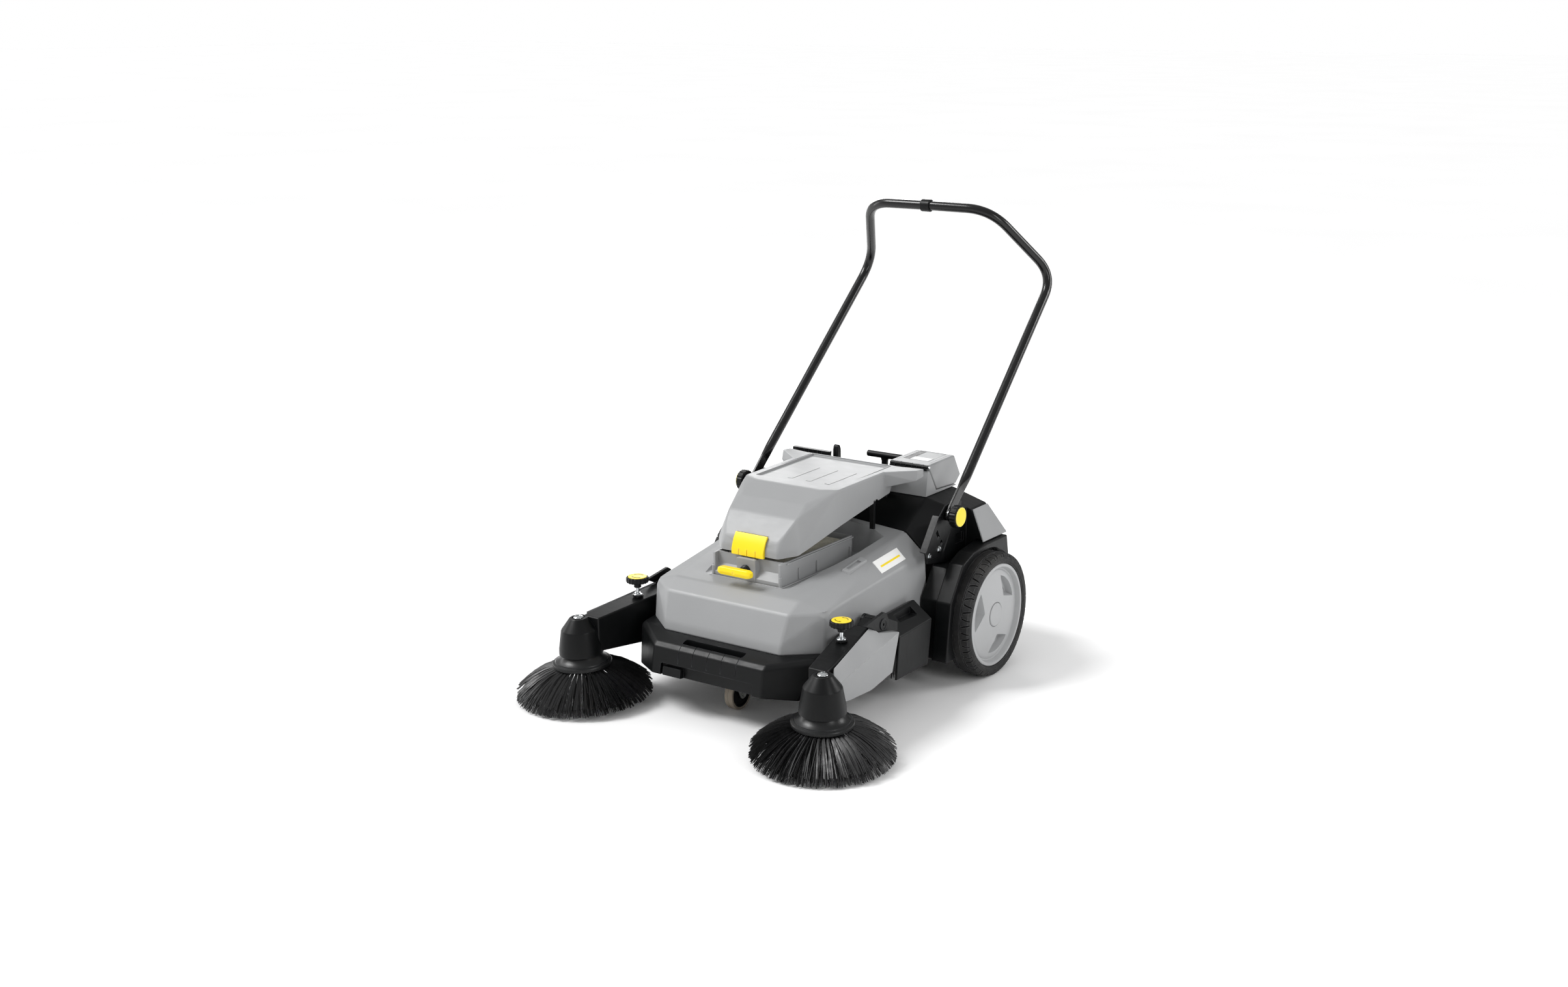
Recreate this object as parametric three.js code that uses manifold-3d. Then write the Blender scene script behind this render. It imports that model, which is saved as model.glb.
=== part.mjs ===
// Walk-behind sweeper with two side brushes, battery driven, as an assembly of separate named pieces.
// Millimetres. X runs across the machine (+X = operator's left seen from behind, "_l" pieces),
// -Y is the front, +Z is up. Pieces are drawn with Y = 0 on the wheel axle and Z = 0 on the floor,
// then the whole group is moved along Y so that the middle of its box lies over the origin.
import * as THREE from "three";
import { ConvexGeometry } from "three/addons/geometries/ConvexGeometry.js";
import { mergeVertices } from "three/addons/utils/BufferGeometryUtils.js";
import Module from "manifold-3d";

const wasm = await Module();
wasm.setup();

// ---------------------------------------------------------------- driving dimensions
const AXLE_TO_CENTRE = 190.4;
const CLEAR = 0.4;

const WHEEL_R = 140;
const AXLE_Z = 140;
const AXLE_R = 9;
const RIM_R = 116;
const TYRE_INNER_X = 296;
const TYRE_OUTER_X = 354;

const WALL_X = 216;
const WALL_T = 6;
const DECK_T = 4.5;

const ROLLER = { y: -150, z: 112, r: 111.5, x0: -211, x1: 186 };
const TUNNEL_R = 119;
const MOTOR = { y: -262, z: 230, r: 32, x0: -70, x1: 150 };
const BELT_X = [199, 209];
const PULLEY_R = { roller: 32, motor: 14 };

const HOOD_HINGE = { y: -44, z: 447 };
const LID_HINGE = { y: -25, z: 458.5 };
const LATCH_PIVOT = { y: -447, z: 371 };
const LEVER_PIVOT = { y: -16, z: 434 };

const HANDLE_PIVOT = { x: 265, y: -77, z: 374 };
const HANDLE_TUBE_R = 11;
const HANDLE_ELBOW = [250, 418, 842];
const HANDLE_CORNER = [163, 265, 1002];
const HANDLE_MIDDLE = [24, 255, 1004];

const ARM_PIVOT = { y: -385, z: 212 };
const BRUSH_TOP = { x: 314, y: -648, z: 189.5 };
const BRUSH_LEAN = 3;
const BRUSH_SPLAY = 1.8;
const BRUSH_R = 150;
const KNOB = { x: 265, y: -506, r: 25 };

const CASTOR = { stemY: -518, wheelY: -500, r: 36, halfWidth: 11, roomR: 57, roomTop: 98 };

const COLOUR = {
  grey: { color: 0x939495, roughness: 0.45, metalness: 0 },
  rimGrey: { color: 0xa6a7a8, roughness: 0.5, metalness: 0 },
  black: { color: 0x1d1e20, roughness: 0.5, metalness: 0 },
  bristle: { color: 0x121212, roughness: 0.6, metalness: 0 },
  rubber: { color: 0x1a1a1a, roughness: 0.85, metalness: 0 },
  paint: { color: 0x141517, roughness: 0.3, metalness: 0.3 },
  yellow: { color: 0xf6d81c, roughness: 0.4, metalness: 0 },
  chrome: { color: 0xcfd2d4, roughness: 0.2, metalness: 1 },
  zinc: { color: 0xb4b6b4, roughness: 0.4, metalness: 0.9 },
  tread: { color: 0xa39c90, roughness: 0.7, metalness: 0 },
  filter: { color: 0xe2dfd2, roughness: 0.9, metalness: 0 },
  battery: { color: 0x2f3a44, roughness: 0.5, metalness: 0 },
};

// ---------------------------------------------------------------- modelling helpers
// A three.js geometry as a manifold solid, turned outside out when its winding is reversed.
function solid(geometry) {
  const bare = geometry.index ? geometry.toNonIndexed() : geometry.clone();
  bare.deleteAttribute("normal");
  bare.deleteAttribute("uv");
  const merged = mergeVertices(bare, 1e-3);
  const at = merged.attributes.position.array;
  const triVerts = new Uint32Array(merged.index.array);
  if (signedVolume(at, triVerts) < 0) {
    for (let i = 0; i < triVerts.length; i += 3) {
      [triVerts[i + 1], triVerts[i + 2]] = [triVerts[i + 2], triVerts[i + 1]];
    }
  }
  return new wasm.Manifold(new wasm.Mesh({ numProp: 3, vertProperties: at, triVerts }));
}

function signedVolume(at, triVerts) {
  const corner = (i) => new THREE.Vector3().fromArray(at, 3 * triVerts[i]);
  let sum = 0;
  for (let i = 0; i < triVerts.length; i += 3) {
    sum += corner(i).dot(corner(i + 1).cross(corner(i + 2)));
  }
  return sum / 6;
}

function geometryOf(manifold) {
  const mesh = manifold.getMesh();
  const geometry = new THREE.BufferGeometry();
  geometry.setAttribute("position", new THREE.BufferAttribute(mesh.vertProperties, mesh.numProp));
  geometry.setIndex(new THREE.BufferAttribute(mesh.triVerts, 1));
  geometry.computeVertexNormals();
  return geometry;
}

function box(x0, x1, y0, y1, z0, z1) {
  const geometry = new THREE.BoxGeometry(x1 - x0, y1 - y0, z1 - z0);
  geometry.translate((x0 + x1) / 2, (y0 + y1) / 2, (z0 + z1) / 2);
  return solid(geometry);
}

const hull = (points) =>
  solid(new ConvexGeometry(points.map((p) => new THREE.Vector3(...p))));

// Points of the +X half together with their mirror images.
const bothSides = (half) => half.flatMap(([x, y, z]) => [[x, y, z], [-x, y, z]]);

// A straight-sided block with the given half outline seen from above.
const planBlock = (half, z0, z1) =>
  hull(bothSides(half.flatMap(([x, y]) => [[x, y, z0], [x, y, z1]])));

// The same convex points pushed outwards (or inwards, when negative) by about the given amount.
function grown(half, by) {
  const middle = new THREE.Box3().setFromPoints(half.map((p) => new THREE.Vector3(...p)));
  const { y, z } = middle.getCenter(new THREE.Vector3());
  return half.map((p) => [
    p[0] + by,
    p[1] + Math.sign(p[1] - y) * by,
    p[2] + Math.sign(p[2] - z) * by,
  ]);
}

function outline(points) {
  return new THREE.Shape(points.map(([a, b]) => new THREE.Vector2(a, b)));
}

// A side outline given as [y, z], drawn out along X.
function acrossX(points, x0, x1) {
  const geometry = new THREE.ExtrudeGeometry(outline(points), {
    depth: x1 - x0,
    bevelEnabled: false,
    curveSegments: 1,
  });
  const axes = [[0, 1, 0], [0, 0, 1], [1, 0, 0]].map((v) => new THREE.Vector3(...v));
  geometry.applyMatrix4(new THREE.Matrix4().makeBasis(...axes));
  geometry.translate(x0, 0, 0);
  return solid(geometry);
}

// An outline given as [x, y], drawn up along Z.
function upZ(points, z0, z1) {
  const geometry = new THREE.ExtrudeGeometry(outline(points), {
    depth: z1 - z0,
    bevelEnabled: false,
  });
  geometry.translate(0, 0, z0);
  return solid(geometry);
}

// A profile of [radius, height] turned about Z.
function turnedZ(profile, sides) {
  const closed = profile[0][0] === 0 ? profile : [...profile, profile[0]];
  const geometry = new THREE.LatheGeometry(closed.map((p) => new THREE.Vector2(...p)), sides);
  geometry.rotateX(Math.PI / 2);
  return solid(geometry);
}

// A profile of [radius, x] turned about an axis along X through (y, z).
function turnedX(profile, y, z, sides) {
  const closed = profile[0][0] === 0 ? profile : [...profile, profile[0]];
  const geometry = new THREE.LatheGeometry(closed.map((p) => new THREE.Vector2(...p)), sides);
  geometry.rotateZ(-Math.PI / 2);
  geometry.translate(0, y, z);
  return solid(geometry);
}

const rodX = (x0, x1, y, z, r, sides = 12) =>
  turnedX([[0, x0], [r, x0], [r, x1], [0, x1]], y, z, sides);
const rodZ = (x, y, z0, z1, r, sides = 12) =>
  turnedZ([[0, z0], [r, z0], [r, z1], [0, z1]], sides).translate([x, y, 0]);
const rodY = (y0, y1, x, z, r, sides = 12) =>
  turnedZ([[0, y0], [r, y0], [r, y1], [0, y1]], sides)
    .rotate([-90, 0, 0])
    .translate([x, 0, z]);

const polar = (r, degrees) => {
  const a = THREE.MathUtils.degToRad(degrees);
  return [r * Math.cos(a), r * Math.sin(a)];
};

// The outline of a hand knob with shallow lobes.
function lobed(r, lobes, depth, steps) {
  return Array.from({ length: steps }, (_, i) => {
    const a = (360 * i) / steps;
    return polar(r - depth / 2 + (depth / 2) * Math.cos((lobes * a * Math.PI) / 180), a);
  });
}

const mirrored = (manifold) => manifold.mirror([1, 0, 0]);
const joined = (...solids) => solids.reduce((a, b) => a.add(b));
const cut = (body, ...tools) => tools.reduce((a, b) => a.subtract(b), body);

// ---------------------------------------------------------------- lower body
const TUB_PLAN = [[142, -550], [222, -485], [232, -440], [232, -290]];

function tunnelShell() {
  const outer = [];
  const inner = [];
  for (let a = 60; a <= 190; a += 13) {
    outer.push(polar(TUNNEL_R + 7, a));
    inner.unshift(polar(TUNNEL_R, a));
  }
  const ring = [...outer, ...inner].map(([y, z]) => [y + ROLLER.y, z + ROLLER.z + 1]);
  return acrossX(ring, -WALL_X - 1, ROLLER.x1 + 6);
}

function tunnelEnd() {
  const disc = rodX(ROLLER.x1 + 3, ROLLER.x1 + 6, ROLLER.y, ROLLER.z + 1, TUNNEL_R + 3, 20);
  return disc.intersect(box(0, 400, -400, 400, 60, 400));
}

function chassis() {
  const wallTop = [[-300, 60], [-300, 235], [-120, 235], [-120, 261], [112, 261], [112, 42], [-20, 42]];
  const wall = acrossX(wallTop, WALL_X, WALL_X + WALL_T);
  const sponson = box(WALL_X, 240.2, -300, 112, 60, 158);
  const rail = box(200, WALL_X + 1, -14, 112, 42, 49.5);
  const right = joined(wall, sponson, rail);
  const cradle = box(10, 60, -291, -238, 140, 210);
  const body = joined(
    planBlock(TUB_PLAN, 72, 158),
    right,
    mirrored(right),
    tunnelShell(),
    tunnelEnd(),
    box(-WALL_X - 1, ROLLER.x1 + 6, -292, -269, 72, 112),
    box(-WALL_X - 1, WALL_X + 1, -33, -13, 60, 175),
    cradle,
  );
  return cut(
    body,
    box(-144, 144, -449, -304, 80, 240),
    rodX(-400, 400, 0, AXLE_Z, AXLE_R + CLEAR, 20),
    rodX(-240, 240, ROLLER.y, ROLLER.z, 9, 16),
    rodX(MOTOR.x0 - 1, MOTOR.x1 + 1, MOTOR.y, MOTOR.z, MOTOR.r + CLEAR, 16),
    rodX(-WALL_X, ROLLER.x1 + 3, ROLLER.y, ROLLER.z + 1, TUNNEL_R - 1, 20),
    castorRoom(),
  );
}

const DECK_HALF = [
  [148, -560, 164], [222, -500, 164], [240, -440, 164], [240, -116, 164],
  [150, -559, 186], [156, -538, 247], [219, -495, 250], [228, -175, 268],
  [231, -116, 289], [160, -504, 270], [182, -121, 335], [50, -121, 345],
];

function frontDeck() {
  const outer = hull(bothSides(DECK_HALF));
  const middleY = -338;
  const innerHalf = DECK_HALF.map(([x, y, z]) => [
    x - DECK_T,
    y < middleY ? y + DECK_T : y - DECK_T,
    z < 175 ? 140 : z - DECK_T,
  ]);
  const tray = box(-111, 111, -476, -146, 269, 420).intersect(outer);
  return cut(
    joined(outer.subtract(hull(bothSides(innerHalf))), tray),
    box(-107, 107, -472, -150, 274, 420),
    box(-66, 66, -440, -200, 260, 280),
    box(-226, 226, -130, -100, 150, 262),
    box(-180, 180, -130, -100, 250, 318),
  );
}

function frontBumper() {
  const half = [
    [141, -604, 151], [225, -538, 166], [232, -470, 168], [232, -440, 168],
    [148, -558, 166], [141, -617, 87], [205, -573, 82], [232, -485, 82], [232, -440, 82],
  ];
  const tubRoom = TUB_PLAN.map(([x, y]) => [x + 0.6, y - 0.6]);
  return cut(
    hull(bothSides(half)),
    planBlock(tubRoom, 40, 200),
    hull(bothSides(grown(DECK_HALF, 0.7))),
    box(-78, 78, -592, -574, 118, 190),
    box(-119, 119, -625, -608, 70, 114),
    castorRoom(),
  );
}

// Fender of the left wheel: a hollow-sided box with a lip that follows the tyre.
function fender() {
  const archR = WHEEL_R + 8;
  const block = [[-160, 68], [-150, 199], [-104, 262], [112, 262], [112, 68]];
  const lip = [
    [-171, 68], [-155, 199], [-104, 275], [-60, 292], [0, 299], [95, 299], [104, 256], [112, 68],
  ];
  const arch = rodX(290, 330, 0, AXLE_Z, archR, 36);
  const rearCut = box(289.9, 330, 60, 200, 60, 250);
  const frontRoom = [[-148, 60], [-139, 196], [-98, 250], [-16, 250], [-16, 60]];
  return cut(
    joined(acrossX(block, 240.6, 284), acrossX(lip, 283, 290), acrossX(lip, 289.9, 320)),
    arch,
    rearCut,
    rodX(200, 330, 0, AXLE_Z, AXLE_R + CLEAR, 20),
    acrossX(frontRoom, 245, 276),
    box(245, 276, 16, 104, 60, 250),
  );
}

const HOUSING_HALF = [
  [182, -35, 392], [182, 90, 392], [268, -12, 366], [266, 90, 368], [306, 0, 301], [306, 106, 301],
  [300, 106, 262.6], [300, 0, 262.6], [232, -113, 288], [232, -113, 262.6], [182, -117.5, 333],
];

function rearHousing() {
  const handleRoom = box(256, 330, -200, 18, 240, 420);
  const lipRoom = box(281.4, 330, -200, 200, 240, 300.6);
  return cut(
    hull(bothSides(HOUSING_HALF)),
    handleRoom,
    mirrored(handleRoom),
    lipRoom,
    mirrored(lipRoom),
    box(-213, 213, 21, 200, 200, 352),
    box(-64, 64, 40, 200, 200, 420),
    box(-180, 180, -130, 22, 200, 322),
  );
}

// Grey panel on the sloping outside of the rear housing.
function fenderPanel() {
  const [nx, nz] = [0.863, 0.505];
  const face = [[270, 19, 365], [270, 86, 365], [308, 0, 300], [309, 108, 300]];
  const layer = (t) => face.map(([x, y, z]) => [x + nx * t, y, z + nz * t]);
  return hull([...layer(0.6), ...layer(4.6)]);
}

// Black box behind the side arm, with the two ears that carry the arm's pin.
function sideBox() {
  const bodyPoints = [
    [300, -345, 78], [300, -335, 171], [300, -201, 177], [300, -214, 77],
    [256, -330, 208], [256, -205, 213], [241, -345, 78], [241, -330, 202], [241, -205, 206], [241, -214, 77],
  ];
  const ear = (x0, x1) =>
    hull([
      ...[0, 40, 80, 120, 160, 200, 240, 280, 320].flatMap((a) => {
        const [y, z] = polar(15, a);
        return [[x0, ARM_PIVOT.y + y, ARM_PIVOT.z + z], [x1, ARM_PIVOT.y + y, ARM_PIVOT.z + z]];
      }),
      ...[x0, x1].flatMap((x) => [[x, -325, 165], [x, -325, 200]]),
    ]);
  const body = joined(hull(bodyPoints), ear(241.5, 247), ear(282, 288));
  return cut(
    body,
    rodX(200, 330, ARM_PIVOT.y, ARM_PIVOT.z, 5.3, 14),
    box(247, 296, -348, -220, 70, 150),
  );
}

// ---------------------------------------------------------------- under and inside the deck
function filterHousing() {
  const outer = joined(
    box(-88, 88, -467, -190, 274.4, 326),
    box(-40, 40, -474, -466, 311, 325),
  );
  return cut(outer, box(-84, 84, -463, -194, 279, 340), rodY(-480, -460, 0, 300, 6.5), box(-60, 60, -436, -204, 270, 285));
}

function flatFilter() {
  const pleats = 12;
  const pitch = 220 / pleats;
  const top = [];
  for (let i = 0; i < pleats; i += 1) {
    top.push([-210 - pitch * i, 304], [-210 - pitch * (i + 0.5), 320]);
  }
  return joined(
    acrossX([...top, [-430, 304], [-430, 290], [-210, 290]], -74, 74),
    box(-80, 80, -434, -206, 280, 291),
  );
}

function filterShaker() {
  const grip = hull([-42, 42].flatMap((x) => [[x, -514, 296], [x, -500, 296], [x, -516, 305], [x, -498, 305], [x, -514, 314], [x, -500, 314]]));
  return joined(grip, rodY(-506, -438, 0, 300, 6));
}

const batteryPack = () =>
  joined(
    box(-140, 140, -445, -308, 81, 222),
    box(-60, 60, -390, -370, 221, 232),
  );

function driveMotor() {
  return joined(
    rodX(MOTOR.x0, MOTOR.x1, MOTOR.y, MOTOR.z, MOTOR.r, 16),
    rodX(MOTOR.x1 - 1, 212, MOTOR.y, MOTOR.z, 5, 12),
  );
}

const motorPulley = () =>
  cut(
    rodX(BELT_X[0] - 1, BELT_X[1] + 1, MOTOR.y, MOTOR.z, PULLEY_R.motor, 16),
    rodX(190, 220, MOTOR.y, MOTOR.z, 5.4, 12),
  );

function driveBelt() {
  const loop = (extra) => {
    const ends = [];
    for (let a = 0; a < 360; a += 22.5) {
      const [y1, z1] = polar(PULLEY_R.roller + extra, a);
      const [y2, z2] = polar(PULLEY_R.motor + extra, a);
      for (const x of BELT_X) {
        ends.push([x, y1 + ROLLER.y, z1 + ROLLER.z], [x, y2 + MOTOR.y, z2 + MOTOR.z]);
      }
    }
    return hull(ends);
  };
  const room = loop(1.2).scale([3, 1, 1]).translate([-400, 0, 0]);
  return loop(4).subtract(room);
}

function mainRoller() {
  const rows = 12;
  const star = [];
  for (let i = 0; i < rows; i += 1) {
    const a = (360 * i) / rows;
    star.push(polar(ROLLER.r, a - 8), polar(ROLLER.r, a + 8), polar(72, a + 15));
  }
  const brush = acrossX(star.map(([y, z]) => [y + ROLLER.y, z + ROLLER.z]), ROLLER.x0, ROLLER.x1);
  return joined(
    brush,
    rodX(-221, 197, ROLLER.y, ROLLER.z, 8.5, 16),
    rodX(BELT_X[0] - 1, BELT_X[1] + 1, ROLLER.y, ROLLER.z, PULLEY_R.roller, 16),
    rodX(190, 199, ROLLER.y, ROLLER.z, 8.5, 16),
  );
}

function wasteContainer() {
  const side = [[26, 50], [26, 346], [130, 346], [236, 278], [236, 72], [214, 50]];
  const room = [[30, 54], [30, 342], [128.8, 342], [232, 275.8], [232, 73.7], [212.3, 54]];
  return cut(
    acrossX(side, -210, 210),
    acrossX(room, -206, 206),
    box(-195, 195, 20, 40, 235, 338),
  );
}

function containerHandle() {
  return joined(
    hull(bothSides([[24, 76, 346.4], [24, 94, 346.4], [9, 79, 366], [9, 91, 366]])),
    box(-9, 9, 79, 91, 365, 436),
    rodX(-47, 47, 85, 441, 7.5),
  );
}

// ---------------------------------------------------------------- hood and its hinge
function hoodLatch() {
  const section = [[-464, 329], [-458.4, 360], [-448, 375], [-443.5, 372.5], [-453.6, 359], [-457, 329]];
  return joined(
    acrossX(section, -41, 41),
    rodX(-30, 30, LATCH_PIVOT.y, LATCH_PIVOT.z, 3, 12),
  );
}

function hood() {
  const outerHalf = [
    [67, -451, 364], [66, -455, 300], [101, -419, 367], [103, -426, 300], [88, -408, 409],
    [82, -315, 455], [123, -298, 456], [123, -54, 460], [123, -54, 340], [123, -294, 340],
  ];
  const innerHalf = [
    [62, -446, 280], [62, -446, 362], [96, -415, 280], [97, -415, 364], [84, -402, 403],
    [79, -312, 446], [118, -293, 446], [118, -60, 448], [118, -60, 280], [118, -293, 280],
  ];
  const shoulderHalf = [
    [118, -130, 459], [180, -71, 461], [180, -43, 459], [180, -43, 441], [180, -77, 438],
    [118, -120, 418], [118, -56, 459], [118, -56, 425],
  ];
  const trayHalf = [[104, -287, 452], [104, -60, 455.5], [104, -287, 480], [104, -60, 480]];
  const underside = [
    [-520, 200], [-520, 333], [-455, 333], [-426, 338], [-294, 376], [-155, 398], [-151, 404],
    [-144, 404], [-140, 400], [-93, 407], [-77, 438], [-20, 441], [-20, 200],
  ];
  const knuckle = joined(
    rodX(91, 110, HOOD_HINGE.y, HOOD_HINGE.z, 8),
    box(91, 110, -58, HOOD_HINGE.y, 441, 455),
  );
  const pinRoom = rodX(80, 120, HOOD_HINGE.y, HOOD_HINGE.z, 3.5);
  const shoulder = hull(shoulderHalf);
  const shell = cut(
    joined(hull(bothSides(outerHalf)), shoulder, mirrored(shoulder)),
    hull(bothSides(innerHalf)),
    acrossX(underside, -200, 200),
    hull(bothSides(trayHalf)),
  );
  const latchRoom = [[-470, 327], [-459, 377], [-442.6, 377], [-441.5, 372], [-453, 358], [-456.4, 327]];
  return cut(
    joined(shell, knuckle, mirrored(knuckle)),
    pinRoom,
    mirrored(pinRoom),
    acrossX(latchRoom, -41.6, 41.6),
    rodX(-30.6, 30.6, LATCH_PIVOT.y, LATCH_PIVOT.z, 3.5, 12),
  );
}

function hingeBracket() {
  const lug = (x0, x1) =>
    joined(
      rodX(x0, x1, HOOD_HINGE.y, HOOD_HINGE.z, 7),
      box(x0, x1, -51, -37, 405, HOOD_HINGE.z),
    );
  const foot = acrossX([[-51, 382.5], [-37, 392], [-37, 428], [-51, 428]], -90.4, 90.4);
  const shelf = box(-58, 22, -38, -4, 422, 432);
  const stub = joined(
    box(-60, -57, -24, -9, 424, 442),
    rodX(-76, -57, LEVER_PIVOT.y, LEVER_PIVOT.z, 3, 12),
  );
  return cut(
    joined(foot, lug(78, 90.4), lug(-90.4, -78), shelf, stub),
    rodX(-120, 120, HOOD_HINGE.y, HOOD_HINGE.z, 3.4),
  );
}

// Black rail behind the right shoulder of the hood, on its own upright.
function hingeRail() {
  const upright = [[-31, 392.6], [-31, 461], [-20, 461], [-20, 455], [-25, 452], [-25, 392.6]];
  const endBracket = [[-31, 425], [-31, 461], [-22, 461], [-6, 425], [-6, 392.6], [-25, 392.6]];
  return joined(acrossX(upright, -180, -80), acrossX(endBracket, -82, -78));
}

const hoodHingePin = () => rodX(-112, 112, HOOD_HINGE.y, HOOD_HINGE.z, 3);

function selectorLever() {
  const blade = [[-23, 427], [-9, 427], [-8, 446], [-12, 478], [-22, 478], [-24, 446]];
  return cut(
    acrossX(blade, -74, -60.8),
    rodX(-90, -50, LEVER_PIVOT.y, LEVER_PIVOT.z, 3.4, 12),
  );
}

// ---------------------------------------------------------------- rear box with its lid, left side only
function rearBox() {
  const section = [
    [-35, 392.8], [-29, 452], [-23, 449.5], [-20.5, 449.5], [11, 399.8], [100, 396], [100, 392.8],
  ];
  return acrossX(section, 80, 182);
}

function boxLid() {
  const outer = [[-24, 463], [91, 465], [121, 415], [101, 397], [12.5, 400.8], [-20.5, 450.8]];
  const inner = [[-10, 447], [-8, 459], [88.5, 460.8], [115.5, 414.8], [97, 397.5], [97, 380], [20, 380]];
  return cut(
    joined(
      acrossX(outer, 80, 182),
      rodX(84, 178, LID_HINGE.y, LID_HINGE.z, 3.5, 14),
    ),
    acrossX(inner, 84, 178),
  );
}

// ---------------------------------------------------------------- push handle
class SampledCurve extends THREE.Curve {
  constructor(samples) {
    super();
    this.samples = samples;
  }
  getPoint(t) {
    const last = this.samples.length - 1;
    const at = Math.min(t * last, last - 1e-9);
    const i = Math.floor(at);
    return this.samples[i].clone().lerp(this.samples[i + 1], at - i);
  }
  getPointAt(u) {
    return this.getPoint(u);
  }
  getTangentAt(u) {
    return this.getTangent(u);
  }
  getSpacedPoints(divisions) {
    return Array.from({ length: divisions + 1 }, (_, i) => this.getPoint(i / divisions));
  }
}

// Points along a polyline whose corners are rounded over the given distance.
function roundedPath(corners, reach, steps) {
  const points = corners.map((p) => new THREE.Vector3(...p));
  const towards = (from, to) => from.clone().lerp(to, Math.min(0.42, reach / from.distanceTo(to)));
  const path = [points[0]];
  for (let i = 1; i < points.length - 1; i += 1) {
    const before = towards(points[i], points[i - 1]);
    const after = towards(points[i], points[i + 1]);
    const bend = new THREE.QuadraticBezierCurve3(before, points[i], after);
    path.push(...bend.getPoints(steps));
  }
  path.push(points.at(-1));
  return path;
}

function pipe(samples, r, sides) {
  const ring = new THREE.Shape(Array.from({ length: sides }, (_, i) => {
    const [a, b] = polar(r, (360 * i) / sides);
    return new THREE.Vector2(a, b);
  }));
  return solid(new THREE.ExtrudeGeometry(ring, {
    steps: samples.length - 1,
    bevelEnabled: false,
    extrudePath: new SampledCurve(samples),
  }));
}

function pushHandle() {
  const { x, y, z } = HANDLE_PIVOT;
  const away = new THREE.Vector2(HANDLE_ELBOW[1] - y, HANDLE_ELBOW[2] - z).normalize();
  const along = (d) => [y + away.x * d, z + away.y * d];
  const start = [x, ...along(64)];
  const left = [start, HANDLE_ELBOW, HANDLE_CORNER, HANDLE_MIDDLE];
  const right = [HANDLE_MIDDLE, HANDLE_CORNER, HANDLE_ELBOW, start].map(([a, b, c]) => [-a, b, c]);
  const tube = pipe(roundedPath([...left, ...right], 62, 4), HANDLE_TUBE_R, 12);
  const [endY, endZ] = along(82);
  const tab = hull([262, 268].flatMap((px) => [
    ...[90, 130, 170, 210, 250, 290, 330, 10, 50].map((a) => {
      const [dy, dz] = polar(13, a);
      return [px, y + dy, z + dz];
    }),
    [px, endY - away.y * 9, endZ + away.x * 9],
    [px, endY + away.y * 9, endZ - away.x * 9],
  ]));
  const bore = rodX(250, 280, y, z, 4.7, 12);
  return cut(joined(tube, tab, mirrored(tab)), bore, mirrored(bore));
}

const handleSleeve = () =>
  turnedX([[11.6, -12], [14.5, -12], [14.5, 12], [11.6, 12]], HANDLE_MIDDLE[1], HANDLE_MIDDLE[2], 18);

function handleBracket() {
  const plate = [
    [-166, 303], [-159, 286], [-96, 288], [-60, 335], [-14, 374], [-12, 392], [-34, 400], [-84, 396], [-108, 376],
  ];
  const body = joined(
    acrossX(plate, 256.6, 260.8),
    rodX(260.7, 263.4, -108, 303, 6, 6),
    rodX(260.7, 263.4, -152, 297, 4, 6),
  );
  return cut(body, rodX(240, 270, HANDLE_PIVOT.y, HANDLE_PIVOT.z, 4.7, 12));
}

function clampKnob() {
  const { y, z } = HANDLE_PIVOT;
  const disc = acrossX(lobed(25, 10, 2.4, 20).map(([a, b]) => [a + y, b + z]), 276, 295);
  return joined(disc, rodX(268.6, 277, y, z, 13, 20), rodX(257, 269, y, z, 4.2, 12));
}

const clampCap = () => rodX(295.4, 298, HANDLE_PIVOT.y, HANDLE_PIVOT.z, 18.5, 28);

// ---------------------------------------------------------------- side arms and brushes
// Places a solid drawn about the Z axis onto the leaning axis of the left brush.
function onBrushAxis(manifold) {
  const down = BRUSH_TOP.z;
  const lean = Math.tan(THREE.MathUtils.degToRad(BRUSH_LEAN));
  const splay = Math.tan(THREE.MathUtils.degToRad(BRUSH_SPLAY));
  return manifold
    .rotate([BRUSH_LEAN, BRUSH_SPLAY, 0])
    .translate([BRUSH_TOP.x - down * splay, BRUSH_TOP.y + down * lean, 0]);
}

function sideArm() {
  const section = (y, x0, x1, z0, z1) => [[x0, y, z0], [x1, y, z0], [x0, y, z1], [x1, y, z1]];
  const beam = hull([
    ...section(-422, 243, 286, 112, 213),
    ...section(-480, 236, 298, 104, 207),
    ...section(-628, 270, 330, 114, 187),
  ]);
  const knuckle = joined(
    rodX(249.4, 279.6, ARM_PIVOT.y, ARM_PIVOT.z, 14, 20),
    hull([...section(-424, 249.4, 279.6, 180, 213), ...section(-392, 249.4, 279.6, 200, 225)]),
  );
  const housing = onBrushAxis(turnedZ(
    [[0, 186], [20, 185], [39, 160], [47.5, 118], [47.5, 107], [44, 107], [44, 120], [0, 120]],
    26,
  ));
  return cut(
    joined(beam, knuckle, housing),
    onBrushAxis(rodZ(0, 0, 60, 120, 44, 26)),
    rodX(240, 300, ARM_PIVOT.y, ARM_PIVOT.z, 5.4, 14),
    rodZ(KNOB.x, KNOB.y, 150, 240, 4.4, 14),
  );
}

function armCover() {
  const side = [[-393, 200], [-432, 206], [-560, 158], [-553, 104], [-486, 94], [-390, 90]];
  const plan = [
    [290.6, -388], [290.6, -440], [299, -480], [316.6, -562], [322, -562], [311, -500], [309, -388],
  ];
  return acrossX(side, 280, 340).intersect(upZ(plan, 80, 215));
}

const armPivotPin = () => rodX(241.8, 287.8, ARM_PIVOT.y, ARM_PIVOT.z, 5, 14);

const hubScrew = () =>
  onBrushAxis(turnedZ([[0, 186.4], [11, 186.4], [11, 188.6], [0, 191]], 14));

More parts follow.
